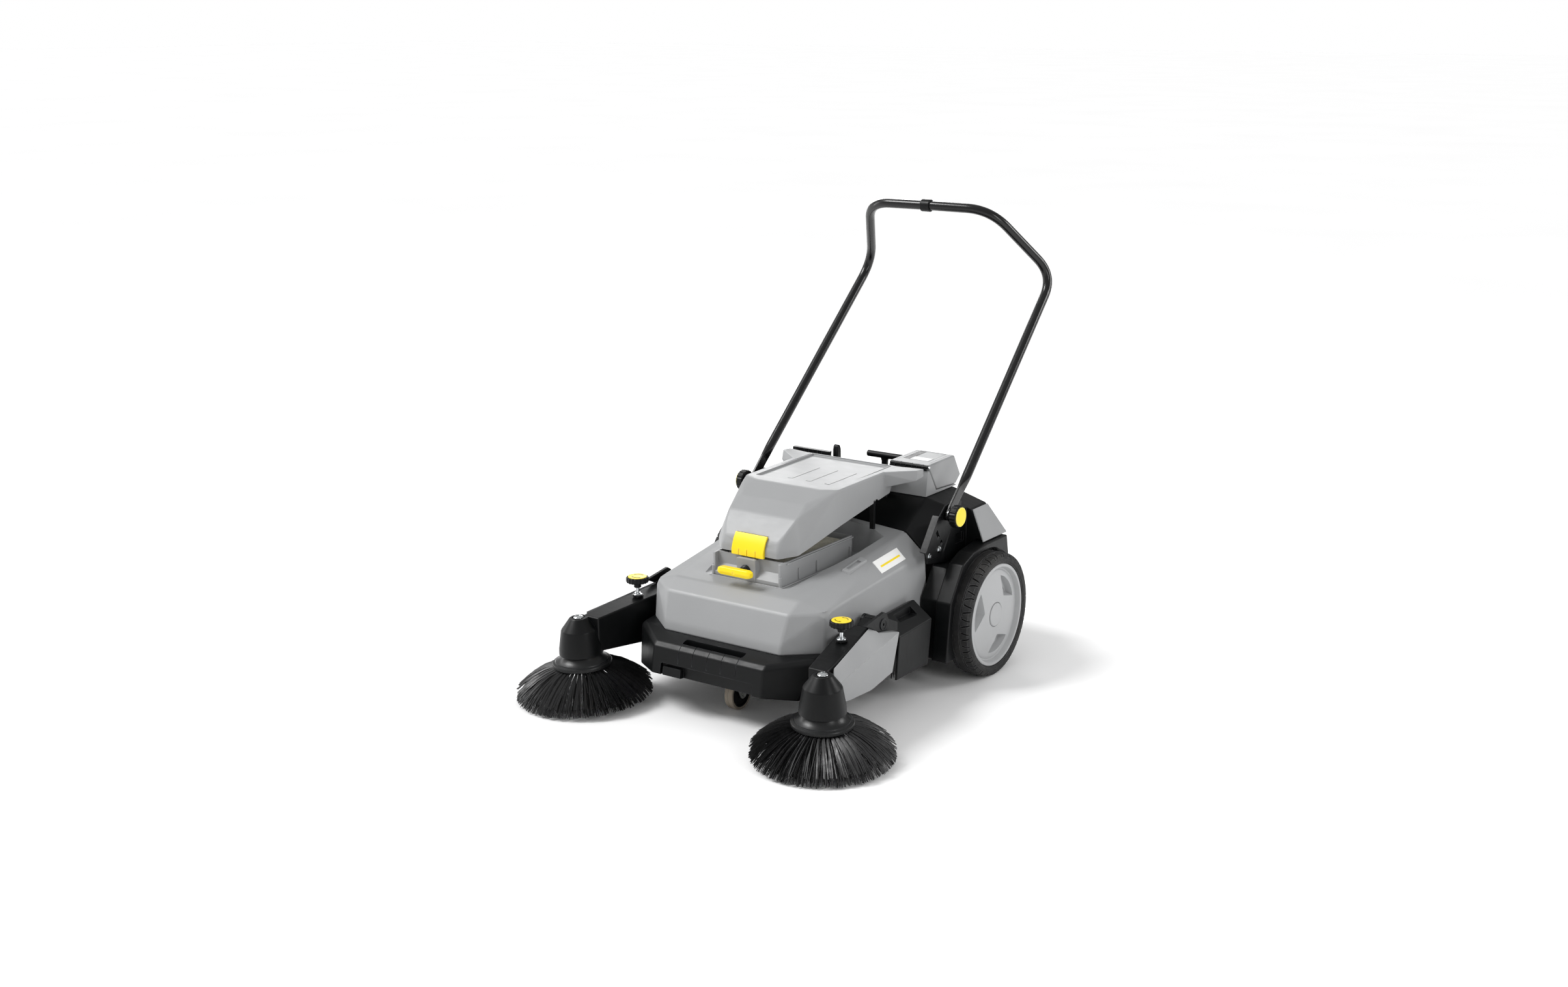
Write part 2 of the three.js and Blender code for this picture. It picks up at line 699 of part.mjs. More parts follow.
const brushPlate = () =>
  onBrushAxis(turnedZ(
    [[0, 119], [16, 119], [16, 106], [43, 105], [64, 86], [64, 81], [57, 78], [0, 78]],
    26,
  ));

const brushBristles = () =>
  onBrushAxis(turnedZ(
    [[20, 77.6], [56, 77.6], [108, 53], [BRUSH_R, 11], [132, 10], [92, 34], [20, 62]],
    30,
  ));

function adjustKnob() {
  const disc = upZ(lobed(KNOB.r, 10, 2, 20).map(([a, b]) => [a + KNOB.x, b + KNOB.y]), 237, 249);
  return joined(
    disc,
    rodZ(KNOB.x, KNOB.y, 152, 238, 4, 14),
    rodZ(KNOB.x, KNOB.y, 226, 238, 8, 16),
    rodZ(KNOB.x, KNOB.y, 206.4, 209, 10, 16),
  );
}

const adjustCap = () => rodZ(KNOB.x, KNOB.y, 249.4, 251.6, 18, 28);

// ---------------------------------------------------------------- wheels
const rearAxle = () => rodX(-339, 339, 0, AXLE_Z, AXLE_R, 20);

const tyre = () =>
  turnedX(
    [
      [RIM_R + 1, TYRE_INNER_X + 2], [130, TYRE_INNER_X], [WHEEL_R, TYRE_INNER_X + 7],
      [WHEEL_R, TYRE_OUTER_X - 7], [130, TYRE_OUTER_X], [RIM_R + 1, TYRE_OUTER_X - 2],
    ],
    0, AXLE_Z, 36,
  );

function rim() {
  const disc = turnedX(
    [
      [0, 348], [28, 348], [32, 344], [102, 344], [107, 351], [RIM_R, 351], [RIM_R, 299],
      [105, 320], [30, 320], [30, 293], [AXLE_R + CLEAR, 293], [AXLE_R + CLEAR, 340], [0, 340],
    ],
    0, AXLE_Z, 30,
  );
  const pockets = [40, 160, 280].map((middle) => {
    const arc = [-26, -9, 9, 26].map((a) => polar(92, middle + a));
    const neck = [20, -20].map((a) => polar(46, middle + a));
    return acrossX([...arc, ...neck].map(([y, z]) => [y, z + AXLE_Z]), 326, 360);
  });
  return cut(disc, ...pockets);
}

// The round room under the tub's nose in which the castor swivels.
const castorRoom = () => rodZ(0, CASTOR.stemY, 50, CASTOR.roomTop, CASTOR.roomR, 28);

function castorPlate() {
  return joined(
    box(-30, 30, CASTOR.stemY - 24, CASTOR.stemY + 24, 92, CASTOR.roomTop - 0.4),
    rodZ(0, CASTOR.stemY, 86, 93, 6, 16),
  );
}

function castorFork() {
  const cheek = (x) =>
    hull([x, x + 2.4].flatMap((px) => [
      [px, -536, 80], [px, -502, 80], [px, -490, 44], [px, -490, 29], [px, -505, 26], [px, -522, 52],
    ]));
  const axle = rodX(-16, 16, CASTOR.wheelY, CASTOR.r, 3, 12);
  const top = rodZ(0, CASTOR.stemY, 78, 90, 20, 20);
  return cut(joined(top, cheek(12.2), cheek(-14.6), axle), rodZ(0, CASTOR.stemY, 85, 95, 6.5, 16));
}

const castorWheel = () =>
  turnedX(
    [[3.4, -CASTOR.halfWidth], [32, -CASTOR.halfWidth], [CASTOR.r, -8], [CASTOR.r, 8],
      [32, CASTOR.halfWidth], [3.4, CASTOR.halfWidth]],
    CASTOR.wheelY, CASTOR.r, 24,
  );

// ---------------------------------------------------------------- assembly
const single = [
  ["chassis", chassis, "black"],
  ["front_bumper", frontBumper, "black"],
  ["front_deck", frontDeck, "grey"],
  ["filter_housing", filterHousing, "grey"],
  ["flat_filter", flatFilter, "filter"],
  ["filter_shaker", filterShaker, "yellow"],
  ["hood", hood, "grey"],
  ["hood_latch", hoodLatch, "yellow"],
  ["hinge_bracket", hingeBracket, "black"],
  ["hood_hinge_pin", hoodHingePin, "zinc"],
  ["hinge_rail", hingeRail, "black"],
  ["selector_lever", selectorLever, "black"],
  ["rear_housing", rearHousing, "black"],
  ["push_handle", pushHandle, "paint"],
  ["handle_sleeve", handleSleeve, "black"],
  ["rear_axle", rearAxle, "zinc"],
  ["castor_plate", castorPlate, "zinc"],
  ["castor_fork", castorFork, "zinc"],
  ["castor_wheel", castorWheel, "tread"],
  ["main_roller", mainRoller, "bristle"],
  ["drive_motor", driveMotor, "zinc"],
  ["motor_pulley", motorPulley, "black"],
  ["drive_belt", driveBelt, "rubber"],
  ["battery_pack", batteryPack, "battery"],
  ["waste_container", wasteContainer, "black"],
  ["container_handle", containerHandle, "black"],
  ["rear_box", rearBox, "grey"],
  ["box_lid", boxLid, "grey"],
];

const paired = [
  ["fender", fender, "black"],
  ["fender_panel", fenderPanel, "grey"],
  ["side_box", sideBox, "black"],
  ["handle_bracket", handleBracket, "paint"],
  ["clamp_knob", clampKnob, "black"],
  ["clamp_cap", clampCap, "yellow"],
  ["side_arm", sideArm, "black"],
  ["arm_cover", armCover, "grey"],
  ["arm_pivot_pin", armPivotPin, "zinc"],
  ["adjust_knob", adjustKnob, "black"],
  ["adjust_cap", adjustCap, "yellow"],
  ["hub_screw", hubScrew, "chrome"],
  ["brush_plate", brushPlate, "black"],
  ["brush_bristles", brushBristles, "bristle"],
  ["tyre", tyre, "rubber"],
  ["rim", rim, "rimGrey"],
];

const machine = new THREE.Group();
machine.name = "walk_behind_sweeper";
machine.position.y = AXLE_TO_CENTRE;

function place(name, manifold, finish) {
  const mesh = new THREE.Mesh(geometryOf(manifold), new THREE.MeshStandardMaterial(COLOUR[finish]));
  mesh.name = name;
  machine.add(mesh);
}

for (const [name, make, finish] of single) {
  place(name, make(), finish);
}
for (const [name, make, finish] of paired) {
  const left = make();
  place(`${name}_l`, left, finish);
  place(`${name}_r`, mirrored(left), finish);
}

export default machine;
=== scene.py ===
"""Walk-behind sweeper: the fine surfaces and finishes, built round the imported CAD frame.

Shapes are drawn in millimetres with the wheel axle at Y = 0 and the floor at Z = 0, and are moved
to the row frame, in metres, when they become pieces. +X is the operator's left, -Y is the front.
"""

import math
import random

import bmesh
import bpy
from mathutils import Matrix, Vector


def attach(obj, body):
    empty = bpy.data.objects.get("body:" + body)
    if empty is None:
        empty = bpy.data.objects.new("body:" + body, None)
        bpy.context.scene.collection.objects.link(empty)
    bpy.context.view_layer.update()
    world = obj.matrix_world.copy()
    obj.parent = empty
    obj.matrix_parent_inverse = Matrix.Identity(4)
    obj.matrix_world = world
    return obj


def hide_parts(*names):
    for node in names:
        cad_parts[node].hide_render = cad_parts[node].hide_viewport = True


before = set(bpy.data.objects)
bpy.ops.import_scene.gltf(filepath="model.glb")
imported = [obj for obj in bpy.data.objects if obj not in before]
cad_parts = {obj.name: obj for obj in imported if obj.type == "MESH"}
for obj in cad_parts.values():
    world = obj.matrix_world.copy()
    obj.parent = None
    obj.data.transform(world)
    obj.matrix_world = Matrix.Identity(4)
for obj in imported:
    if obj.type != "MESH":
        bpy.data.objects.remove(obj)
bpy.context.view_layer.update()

# ---------------------------------------------------------------- driving dimensions, millimetres
AXLE_Y = 190.4
MM = 0.001
AXLE_Z = 140
WHEEL_R = 140
RIM_R = 116
TYRE_X = (296, 354)
ROLLER = {"y": -150, "z": 112, "r": 111, "x": (-211, 186)}
DECK_T = 4.5
MOTOR = {"y": -262, "z": 230, "r": 31.5, "x": (-70, 150)}
HOOD_HINGE = (-44, 447)
LID_HINGE = (-25, 458.5)
HANDLE_PIVOT = (265, -77, 374)
HANDLE_ELBOW = (250, 418, 842)
HANDLE_CORNER = (163, 265, 1002)
HANDLE_MIDDLE = (24, 255, 1004)
ARM_PIVOT = (-385, 212)
BRUSH_TOP = (314, -648, 189.5)
BRUSH_LEAN = 3
BRUSH_SPLAY = 1.8
KNOB = (265, -506)
CASTOR_STEM_Y = -518
CASTOR_Y = -500
CASTOR_R = 36
CASTOR_ROOM = (57, 98)

# Edges and mesh cleaning: angles in degrees, distances in metres.
EDGE_ANGLE = 32
EDGE_SEGMENTS = 2
FLAT_ANGLE = 0.4
DOUBLES = 2e-6
WELD_DISTANCE = 1e-5
# How far the painted edge highlight reaches from an edge, in metres.
HIGHLIGHT_EDGE_REACH = 0.0011

# Light and camera: places in metres, directions in degrees.
KEY_FROM = (-3.2, -2.2, 4.4)
KEY_STRENGTH = 2.3
KEY_SOFTNESS = 22
ROOM_LIGHT = (0.22, 0.65)
HORIZON = (0.035, 0.07)
LIGHTS = {
    "back_right": ((2.6, 2.2, 1.9), (1.2, 1.0), 34),
    "back_left": ((-2.2, 3.0, 1.7), (1.4, 0.8), 30),
    "left_strip": ((-3.2, -0.6, 1.2), (0.3, 2.0), 14),
    "right_strip": ((3.2, -0.9, 1.7), (0.5, 1.8), 26),
}
LIGHTS_AIM = (0, 0, 0.3)
FLOOR_HALF = 60
CAMERA_AT = (2.2245, -3.5414 + AXLE_Y * MM, 1.4478)
CAMERA_TURN = 34.69
CAMERA_DOWN = 14.5
CAMERA_LENS = 43.08
SCENE = bpy.context.scene


# ---------------------------------------------------------------- solids, in millimetres
def as_object(bm, name):
    """A bmesh as a new object in the scene; the bmesh is freed."""
    mesh = bpy.data.meshes.new(name)
    bm.to_mesh(mesh)
    bm.free()
    obj = bpy.data.objects.new(name, mesh)
    SCENE.collection.objects.link(obj)
    return obj


def solid(bm):
    """A closed bmesh as a temporary object that the boolean modifier can use."""
    bmesh.ops.recalc_face_normals(bm, faces=bm.faces)
    return as_object(bm, "solid")


def both_sides(half):
    """Points of the +X half together with their mirror images."""
    return [(sign * x, y, z) for x, y, z in half for sign in (1, -1)]


def hull(points):
    bm = bmesh.new()
    for point in points:
        bm.verts.new(point)
    made = bmesh.ops.convex_hull(bm, input=bm.verts)
    spare = {v for v in made["geom_interior"] + made["geom_unused"] if isinstance(v, bmesh.types.BMVert)}
    bmesh.ops.delete(bm, geom=list(spare), context="VERTS")
    bmesh.ops.dissolve_limit(bm, angle_limit=0.01, verts=bm.verts, edges=bm.edges)
    return solid(bm)


def prism(outline, axis, low, high):
    """An outline drawn out along an axis: (y, z) pairs for X, (x, z) for Y, (x, y) for Z."""
    place = {
        "X": lambda a, b, t: (t, a, b),
        "Y": lambda a, b, t: (a, t, b),
        "Z": lambda a, b, t: (a, b, t),
    }[axis]
    bm = bmesh.new()
    ends = [[bm.verts.new(place(a, b, t)) for a, b in outline] for t in (low, high)]
    for ring in ends:
        bm.faces.new(ring)
    count = len(outline)
    for i in range(count):
        j = (i + 1) % count
        bm.faces.new((ends[0][i], ends[0][j], ends[1][j], ends[1][i]))
    return solid(bm)


def box(x, y, z):
    return prism([(y[0], z[0]), (y[1], z[0]), (y[1], z[1]), (y[0], z[1])], "X", *x)


def lathe(profile, steps, axis="Z", centre=(0, 0)):
    """A profile of (radius, place along the axis), turned about it; it ends on the axis or is a loop."""
    place = {
        "X": lambda r, t, a: (t, centre[0] + r * math.cos(a), centre[1] + r * math.sin(a)),
        "Y": lambda r, t, a: (centre[0] + r * math.cos(a), t, centre[1] + r * math.sin(a)),
        "Z": lambda r, t, a: (centre[0] + r * math.cos(a), centre[1] + r * math.sin(a), t),
    }[axis]
    bm = bmesh.new()
    rings = []
    for r, t in profile:
        turns = [0] if r == 0 else [math.tau * i / steps for i in range(steps)]
        rings.append([bm.verts.new(place(r, t, a)) for a in turns])
    pairs = list(zip(rings, rings[1:]))
    if profile[0][0] != 0:
        pairs.append((rings[-1], rings[0]))
    for one, two in pairs:
        for i in range(steps):
            j = (i + 1) % steps
            corners = [one[i % len(one)], one[j % len(one)], two[j % len(two)], two[i % len(two)]]
            face = list(dict.fromkeys(corners))
            if len(face) > 2:
                bm.faces.new(face)
    return solid(bm)


def loft(rings):
    """A skin over rings of points, closed at both ends."""
    bm = bmesh.new()
    made = [[bm.verts.new(point) for point in ring] for ring in rings]
    for one, two in zip(made, made[1:]):
        for i in range(len(one)):
            j = (i + 1) % len(one)
            bm.faces.new((one[i], one[j], two[j], two[i]))
    bm.faces.new(made[0])
    bm.faces.new(made[-1])
    return solid(bm)


def rod(axis, low, high, centre, r, steps=40):
    return lathe([(0, low), (r, low), (r, high), (0, high)], steps, axis, centre)


def combine(operation, base, tools):
    for tool in tools:
        modifier = base.modifiers.new(operation, "BOOLEAN")
        modifier.operation = operation
        modifier.solver = "MANIFOLD"
        modifier.object = tool
    bpy.context.view_layer.update()
    evaluated = base.evaluated_get(bpy.context.evaluated_depsgraph_get())
    mesh = bpy.data.meshes.new_from_object(evaluated)
    base.modifiers.clear()
    base.data = mesh
    for tool in tools:
        bpy.data.objects.remove(tool)
    return base


def joined(base, *tools):
    return combine("UNION", base, tools)


def cut(base, *tools):
    return combine("DIFFERENCE", base, tools)


def shared(base, *tools):
    return combine("INTERSECT", base, tools)


def edit(obj, change):
    """Runs change on the object's mesh as a bmesh."""
    bm = bmesh.new()
    bm.from_mesh(obj.data)
    change(bm)
    bm.to_mesh(obj.data)
    bm.free()
    return obj


def rounded(obj, width, segments=3, angle=9):
    """Rounds every edge that turns by more than the angle, in degrees."""

    def change(bm):
        sharp = [e for e in bm.edges if e.is_manifold and e.calc_face_angle() > math.radians(angle)]
        bmesh.ops.bevel(bm, geom=sharp, offset=width, segments=segments, profile=0.5, affect="EDGES",
                        clamp_overlap=True)

    return edit(obj, change)


def moved(obj, matrix):
    obj.data.transform(matrix)
    return obj


def copied(obj):
    twin = bpy.data.objects.new("solid", obj.data.copy())
    SCENE.collection.objects.link(twin)
    return twin


def mirrored(obj):
    """The object's mirror image across the middle of the machine, as a new solid."""
    twin = copied(obj)
    twin.data.transform(Matrix.Scale(-1, 4, (1, 0, 0)))
    return edit(twin, lambda bm: bmesh.ops.reverse_faces(bm, faces=bm.faces))


def polar(r, degrees, centre=(0, 0)):
    a = math.radians(degrees)
    return (centre[0] + r * math.cos(a), centre[1] + r * math.sin(a))


def grown(half, by):
    """Points of a half body pushed outwards, or inwards when negative, by about the given amount."""
    _, mid_y, mid_z = [(min(p[i] for p in half) + max(p[i] for p in half)) / 2 for i in range(3)]
    return [
        (x + by, y + (by if y > mid_y else -by), z + (by if z > mid_z else -by))
        for x, y, z in half
    ]


def to_row(obj):
    return moved(obj, Matrix.Scale(MM, 4) @ Matrix.Translation((0, AXLE_Y, 0)))


# ---------------------------------------------------------------- pieces
def soften(obj, width, segments, angle):
    """Adds a bevel modifier, its width in millimetres, on edges that turn by more than the angle."""
    bevel = obj.modifiers.new("soft_edges", "BEVEL")
    bevel.width = width * MM
    bevel.segments = segments
    bevel.limit_method = "ANGLE"
    bevel.angle_limit = math.radians(angle)
    return bevel


def dress(obj, finish):
    """Gives the object one material in place of any that it has."""
    obj.data.materials.clear()
    obj.data.materials.append(finish["material"])


def piece(name, shape, body, finish, stands_for=(), edge=0.0, angle=EDGE_ANGLE):
    """Turns a solid into a named piece on a body, with its edges softened and its shading smoothed."""
    to_row(shape)

    def clean(bm):
        bmesh.ops.remove_doubles(bm, verts=bm.verts, dist=DOUBLES)
        bmesh.ops.dissolve_degenerate(bm, edges=bm.edges, dist=DOUBLES / 2)
        bmesh.ops.dissolve_limit(bm, angle_limit=math.radians(FLAT_ANGLE), verts=bm.verts, edges=bm.edges)

    edit(shape, clean)
    shape.name = name
    shape.data.name = name
    dress(shape, finish)
    shape.data.shade_smooth()
    shape.data.set_sharp_from_angle(angle=math.radians(angle))
    if edge:
        soften(shape, edge, EDGE_SEGMENTS, angle)
    even = shape.modifiers.new("even_shading", "WEIGHTED_NORMAL")
    even.keep_sharp = True
    even.weight = 90
    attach(shape, body)
    if stands_for:
        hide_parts(*stands_for)


def sided(name, make, body, finish, stands_for=(), **look):
    """Makes the left piece and its mirror image; {} in a name takes l or r."""
    left = make()
    shapes = {"l": left, "r": mirrored(left)}
    for side, shape in shapes.items():
        piece(name.format(side), shape, body.format(side), finish,
              [node.format(side) for node in stands_for], **look)


# ---------------------------------------------------------------- materials
def operate(tree, kind, operation, *values):
    """A maths node of a tree on sockets or constants; returns the node."""
    node = tree.nodes.new(kind)
    node.operation = operation
    for socket, value in zip(node.inputs, values):
        if isinstance(value, bpy.types.NodeSocket):
            tree.links.new(value, socket)
        else:
            socket.default_value = value
    return node


class Nodes:
    """A material's node tree with short calls for the nodes that the finishes share."""

    def __init__(self, name):
        self.material = bpy.data.materials.new(name)
        self.material.use_nodes = True
        self.tree = self.material.node_tree
        self.shader = self.tree.nodes["Principled BSDF"]
        self.place = self.tree.nodes.new("ShaderNodeTexCoord").outputs["Object"]

    def add(self, kind, **inputs):
        node = self.tree.nodes.new(kind)
        for key, value in inputs.items():
            socket = node.inputs[key.replace("_", " ")]
            if isinstance(value, bpy.types.NodeSocket):
                self.tree.links.new(value, socket)
            else:
                socket.default_value = value
        return node

    def noise(self, scale, detail=3.0, roughness=0.55, stretch=None):
        place = self.place
        if stretch:
            mapping = self.add("ShaderNodeMapping", Vector=place, Scale=stretch)
            place = mapping.outputs["Vector"]
        node = self.add("ShaderNodeTexNoise", Vector=place, Scale=scale, Detail=detail, Roughness=roughness)
        return node.outputs["Fac"]

    def between(self, value, low, high, start=0.3, end=0.7):
        node = self.add("ShaderNodeMapRange", Value=value)
        node.inputs["From Min"].default_value = start
        node.inputs["From Max"].default_value = end
        node.inputs["To Min"].default_value = low
        node.inputs["To Max"].default_value = high
        return node.outputs["Result"]

    def mix(self, factor, one, two):
        node = self.tree.nodes.new("ShaderNodeMix")
        node.data_type = "RGBA"
        sockets = {"Factor": node.inputs[0], "A": node.inputs[6], "B": node.inputs[7]}
        for key, value in {"Factor": factor, "A": one, "B": two}.items():
            if isinstance(value, bpy.types.NodeSocket):
                self.tree.links.new(value, sockets[key])
            else:
                sockets[key].default_value = value
        return node.outputs[2]

    def bump(self, *layers):
        """Each layer is (height, strength, distance in metres), the coarsest first."""
        normal = None
        for height, strength, distance in layers:
            node = self.add("ShaderNodeBump", Height=height, Strength=strength, Distance=distance)
            if normal:
                self.tree.links.new(normal, node.inputs["Normal"])
            normal = node.outputs["Normal"]
        self.tree.links.new(normal, self.shader.inputs["Normal"])

    def link(self, value, socket):
        self.tree.links.new(value, self.shader.inputs[socket])

    def finish(self, slot):
        return {"material": self.material, "slot": slot}


def linear(code, factor=1.0):
    """A hex colour as linear RGBA, made lighter or darker by a factor."""
    parts = [int(code[i:i + 2], 16) / 255 for i in (1, 3, 5)]
    light = [c / 12.92 if c < 0.04 else ((c + 0.055) / 1.055) ** 2.4 for c in parts]
    return [min(1, factor * c) for c in light] + [1]


# Painted edge highlight: edges made lighter in colour to stand in for light caught on their rounding.
def painted_edge_highlight(nodes, colour, edge_highlight_colour, amount):
    """Painted highlight along edges: within a millimetre or so of an edge, in patches, the colour turns
    towards the lighter highlight one.
    """
    soft = nodes.add("ShaderNodeBevel", Radius=HIGHLIGHT_EDGE_REACH)
    soft.samples = 4
    sharp = nodes.add("ShaderNodeNewGeometry").outputs["Normal"]
    facing = operate(nodes.tree, "ShaderNodeVectorMath", "DOT_PRODUCT", soft.outputs["Normal"], sharp)
    edges = nodes.between(facing.outputs["Value"], amount, 0, 0.82, 0.985)
    patches = nodes.between(nodes.noise(60), 0.35, 1, 0.4, 0.62)
    both = operate(nodes.tree, "ShaderNodeMath", "MULTIPLY", edges, patches)
    return nodes.mix(both.outputs[0], colour, edge_highlight_colour)


def plastic(name, slot, code, rough=(0.4, 0.47), relief=0.08, spread=0.04, edge_highlight_colour=None, gloss=0.5):
    """Moulded plastic: fine eroded grain, slow colour and gloss variation, scuffs and a painted highlight
    along its edges.
    """
    nodes = Nodes(name)
    slow = nodes.between(nodes.noise(5, 3), 0, 1)
    body = nodes.mix(slow, linear(code, 1 - spread), linear(code, 1 + spread))
    specks = nodes.between(nodes.noise(1400, 2), 0, 1, 0.55, 0.75)
    body = nodes.mix(specks, body, linear(code, 1 + 1.5 * spread))
    # Painted highlight: the edges turn towards the highlight colour, made a quarter lighter.
    body = painted_edge_highlight(nodes, body, linear(edge_highlight_colour or code, 1.25), 0.7)
    nodes.link(body, "Base Color")
    scuffs = nodes.noise(30, 5, 0.65, (1, 3, 1))
    nodes.link(nodes.between(scuffs, *rough), "Roughness")
    nodes.bump((nodes.noise(900, 2), relief, 0.00005))
    nodes.shader.inputs["IOR"].default_value = 1.48
    nodes.shader.inputs["Specular IOR Level"].default_value = gloss
    return nodes.finish(slot)


def painted(name, slot, code, rough):
    """Powder coated steel: orange peel, a clear gloss and light rubs along the tube."""
    nodes = Nodes(name)
    rubs = nodes.between(nodes.noise(26, 6, 0.75, (1, 1, 0.25)), 0, 1, 0.55, 0.8)
    nodes.link(nodes.mix(rubs, linear(code), linear(code, 1.6)), "Base Color")
    nodes.shader.inputs["Specular IOR Level"].default_value = 0.3
    nodes.link(nodes.between(nodes.noise(60, 4), rough, rough + 0.08), "Roughness")
    nodes.bump((nodes.noise(300, 1), 0.02, 0.00005))
    nodes.shader.inputs["Coat Weight"].default_value = 0.2
    nodes.shader.inputs["Coat Roughness"].default_value = 0.12
    return nodes.finish(slot)


def metal(name, slot, code, rough, grain=(1, 1, 14), relief=0.1):
    """Plated or cast metal: fine directional marks, stains and gloss variation."""
    nodes = Nodes(name)
    stains = nodes.between(nodes.noise(30, 5, 0.65), 0, 1)
    nodes.link(nodes.mix(stains, linear(code, 0.78), linear(code, 1.06)), "Base Color")
    nodes.link(nodes.between(nodes.noise(160, 4, 0.6, grain), rough * 0.75, rough * 1.35), "Roughness")
    nodes.bump((nodes.noise(500, 3, 0.6, grain), relief, 0.0001))
    nodes.shader.inputs["Metallic"].default_value = 1.0
    return nodes.finish(slot)


def rubber(name, slot, code, rough=0.8):
    """Rubber: matt, coarse grained, dusty in patches, with a painted highlight along its edges."""
    nodes = Nodes(name)
    dust = nodes.between(nodes.noise(16, 6, 0.7), 0, 0.4, 0.45, 0.8)
    body = nodes.mix(dust, linear(code), linear("#4d4b47"))
    # Painted highlight: the edges turn pale grey.
    nodes.link(painted_edge_highlight(nodes, body, linear("#8a8a8b"), 0.8), "Base Color")
    nodes.link(nodes.between(nodes.noise(120, 3), rough - 0.12, rough + 0.08), "Roughness")
    nodes.bump((nodes.noise(220, 4), 0.35, 0.0004), (nodes.noise(1500, 2), 0.3, 0.0001))
    return nodes.finish(slot)


def bristle(name, slot, code):
    """Polypropylene bristle: near black, each strand a little different, with a soft sheen along it."""
    nodes = Nodes(name)
    strands = nodes.between(nodes.noise(420, 2, 0.5, (1, 1, 0.12)), 0, 1, 0.38, 0.66)
    nodes.link(nodes.mix(strands, linear(code, 0.55), linear(code, 2.2)), "Base Color")
    nodes.link(nodes.between(nodes.noise(90), 0.32, 0.52), "Roughness")
    nodes.bump((nodes.noise(900, 2, 0.5, (1, 1, 0.2)), 0.25, 0.0001))
    return nodes.finish(slot)


def paper(name, slot, code):
    """Pleated filter paper: fibres and grey dust in the folds."""
    nodes = Nodes(name)
    dust = nodes.between(nodes.noise(55, 6, 0.7), 0, 0.6)
    nodes.link(nodes.mix(dust, linear(code), linear("#8d877a")), "Base Color")
    nodes.shader.inputs["Roughness"].default_value = 0.95
    nodes.bump((nodes.noise(800, 4), 0.4, 0.0002))
    return nodes.finish(slot)


# The last colour given to a plastic is the colour of its painted edge highlight.
GREY = plastic("grey_plastic", "grey_plastic", "#939495", edge_highlight_colour="#b8b9ba")
RIM_GREY = plastic("rim_plastic", "rim_plastic", "#a6a7a8", (0.44, 0.54))
PALE_GREY = plastic("pale_grey_plastic", "grey_plastic", "#c3c4c5", (0.34, 0.42), spread=0.02)
BLACK = plastic("black_plastic", "black_plastic", "#0c0d0e", (0.34, 0.44), 0.12, 0.12, "#55575a", 0.22)
SATIN_BLACK = plastic("satin_black_plastic", "black_plastic", "#090a0b", (0.34, 0.44), 0.1, 0.12, "#3c3d40",
                      0.22)
GLOSS_BLACK = plastic("gloss_black_plastic", "black_plastic", "#0c0d0e", (0.3, 0.38), 0.05, 0.1, "#55575a",
                      0.4)
DEEP_BLACK = plastic("deep_black_plastic", "black_plastic", "#090a0b", (0.5, 0.66), 0.2, 0.15, gloss=0.16)
YELLOW = plastic("yellow_plastic", "yellow_plastic", "#f7d80f", (0.3, 0.4), 0.05, 0.03, "#fff3a0")
PALE_YELLOW = plastic("pale_yellow_plastic", "yellow_plastic", "#fbeb72", (0.32, 0.42), 0.05, 0.02)
LABEL_WHITE = plastic("label_face", "grey_plastic", "#f2f2f0", (0.3, 0.4), 0.04, 0.01)
BATTERY = plastic("battery_case", "battery_case", "#2e3a46", (0.4, 0.6))
PAINT = painted("painted_steel", "painted_steel", "#0a0a0b", 0.22)
CHROME = metal("chrome", "chrome", "#d4d7d9", 0.12)
ZINC = metal("zinc_steel", "zinc_steel", "#b7b9b6", 0.34, relief=0.2)
MOTOR_CASE = metal("motor_case", "motor_case", "#9a9c9d", 0.5, (1, 1, 1), 0.35)
TYRE = rubber("tyre_rubber", "tyre_rubber", "#131314")
BELT = rubber("belt_rubber", "belt_rubber", "#161616", 0.7)
TREAD = rubber("castor_rubber", "castor_rubber", "#8c8274", 0.7)
BRISTLE = bristle("bristle", "bristle", "#121213")
FILTER = paper("filter_paper", "filter_paper", "#e2dfd2")


# ---------------------------------------------------------------- hood
HOOD_OUTER = [
    (72, -457.5, 347), (72, -459.5, 300), (67, -449, 365), (80, -431, 387), (104, -424, 349),
    (105, -428, 300),
    (101, -417, 367), (88, -408, 409), (84, -368, 434), (82, -315, 455), (123, -298, 456), (123, -54, 460),
    (123, -54, 340), (123, -294, 340),
]
HOOD_INNER = [
    (62, -446, 280), (62, -446, 362), (96, -415, 280), (97, -415, 364), (84, -402, 403),
    (79, -312, 446), (118, -293, 446), (118, -60, 448), (118, -60, 280), (118, -293, 280),
]
HOOD_SHOULDER = [
    (106, -130, 458.8), (180, -71, 461), (180, -43, 459), (180, -43, 441), (180, -77, 438),
    (106, -120, 418), (106, -56, 459), (106, -56, 425),
]
HOOD_UNDERSIDE = [
    (-520, 200), (-520, 333), (-455, 333), (-426, 338), (-294, 376), (-155, 398), (-151, 404),
    (-144, 404), (-140, 400), (-93, 407), (-77, 438), (-20, 441), (-20, 200),
]
HOOD_TRAY = [(104, -287, 452), (104, -60, 455.5), (104, -287, 480), (104, -60, 480)]


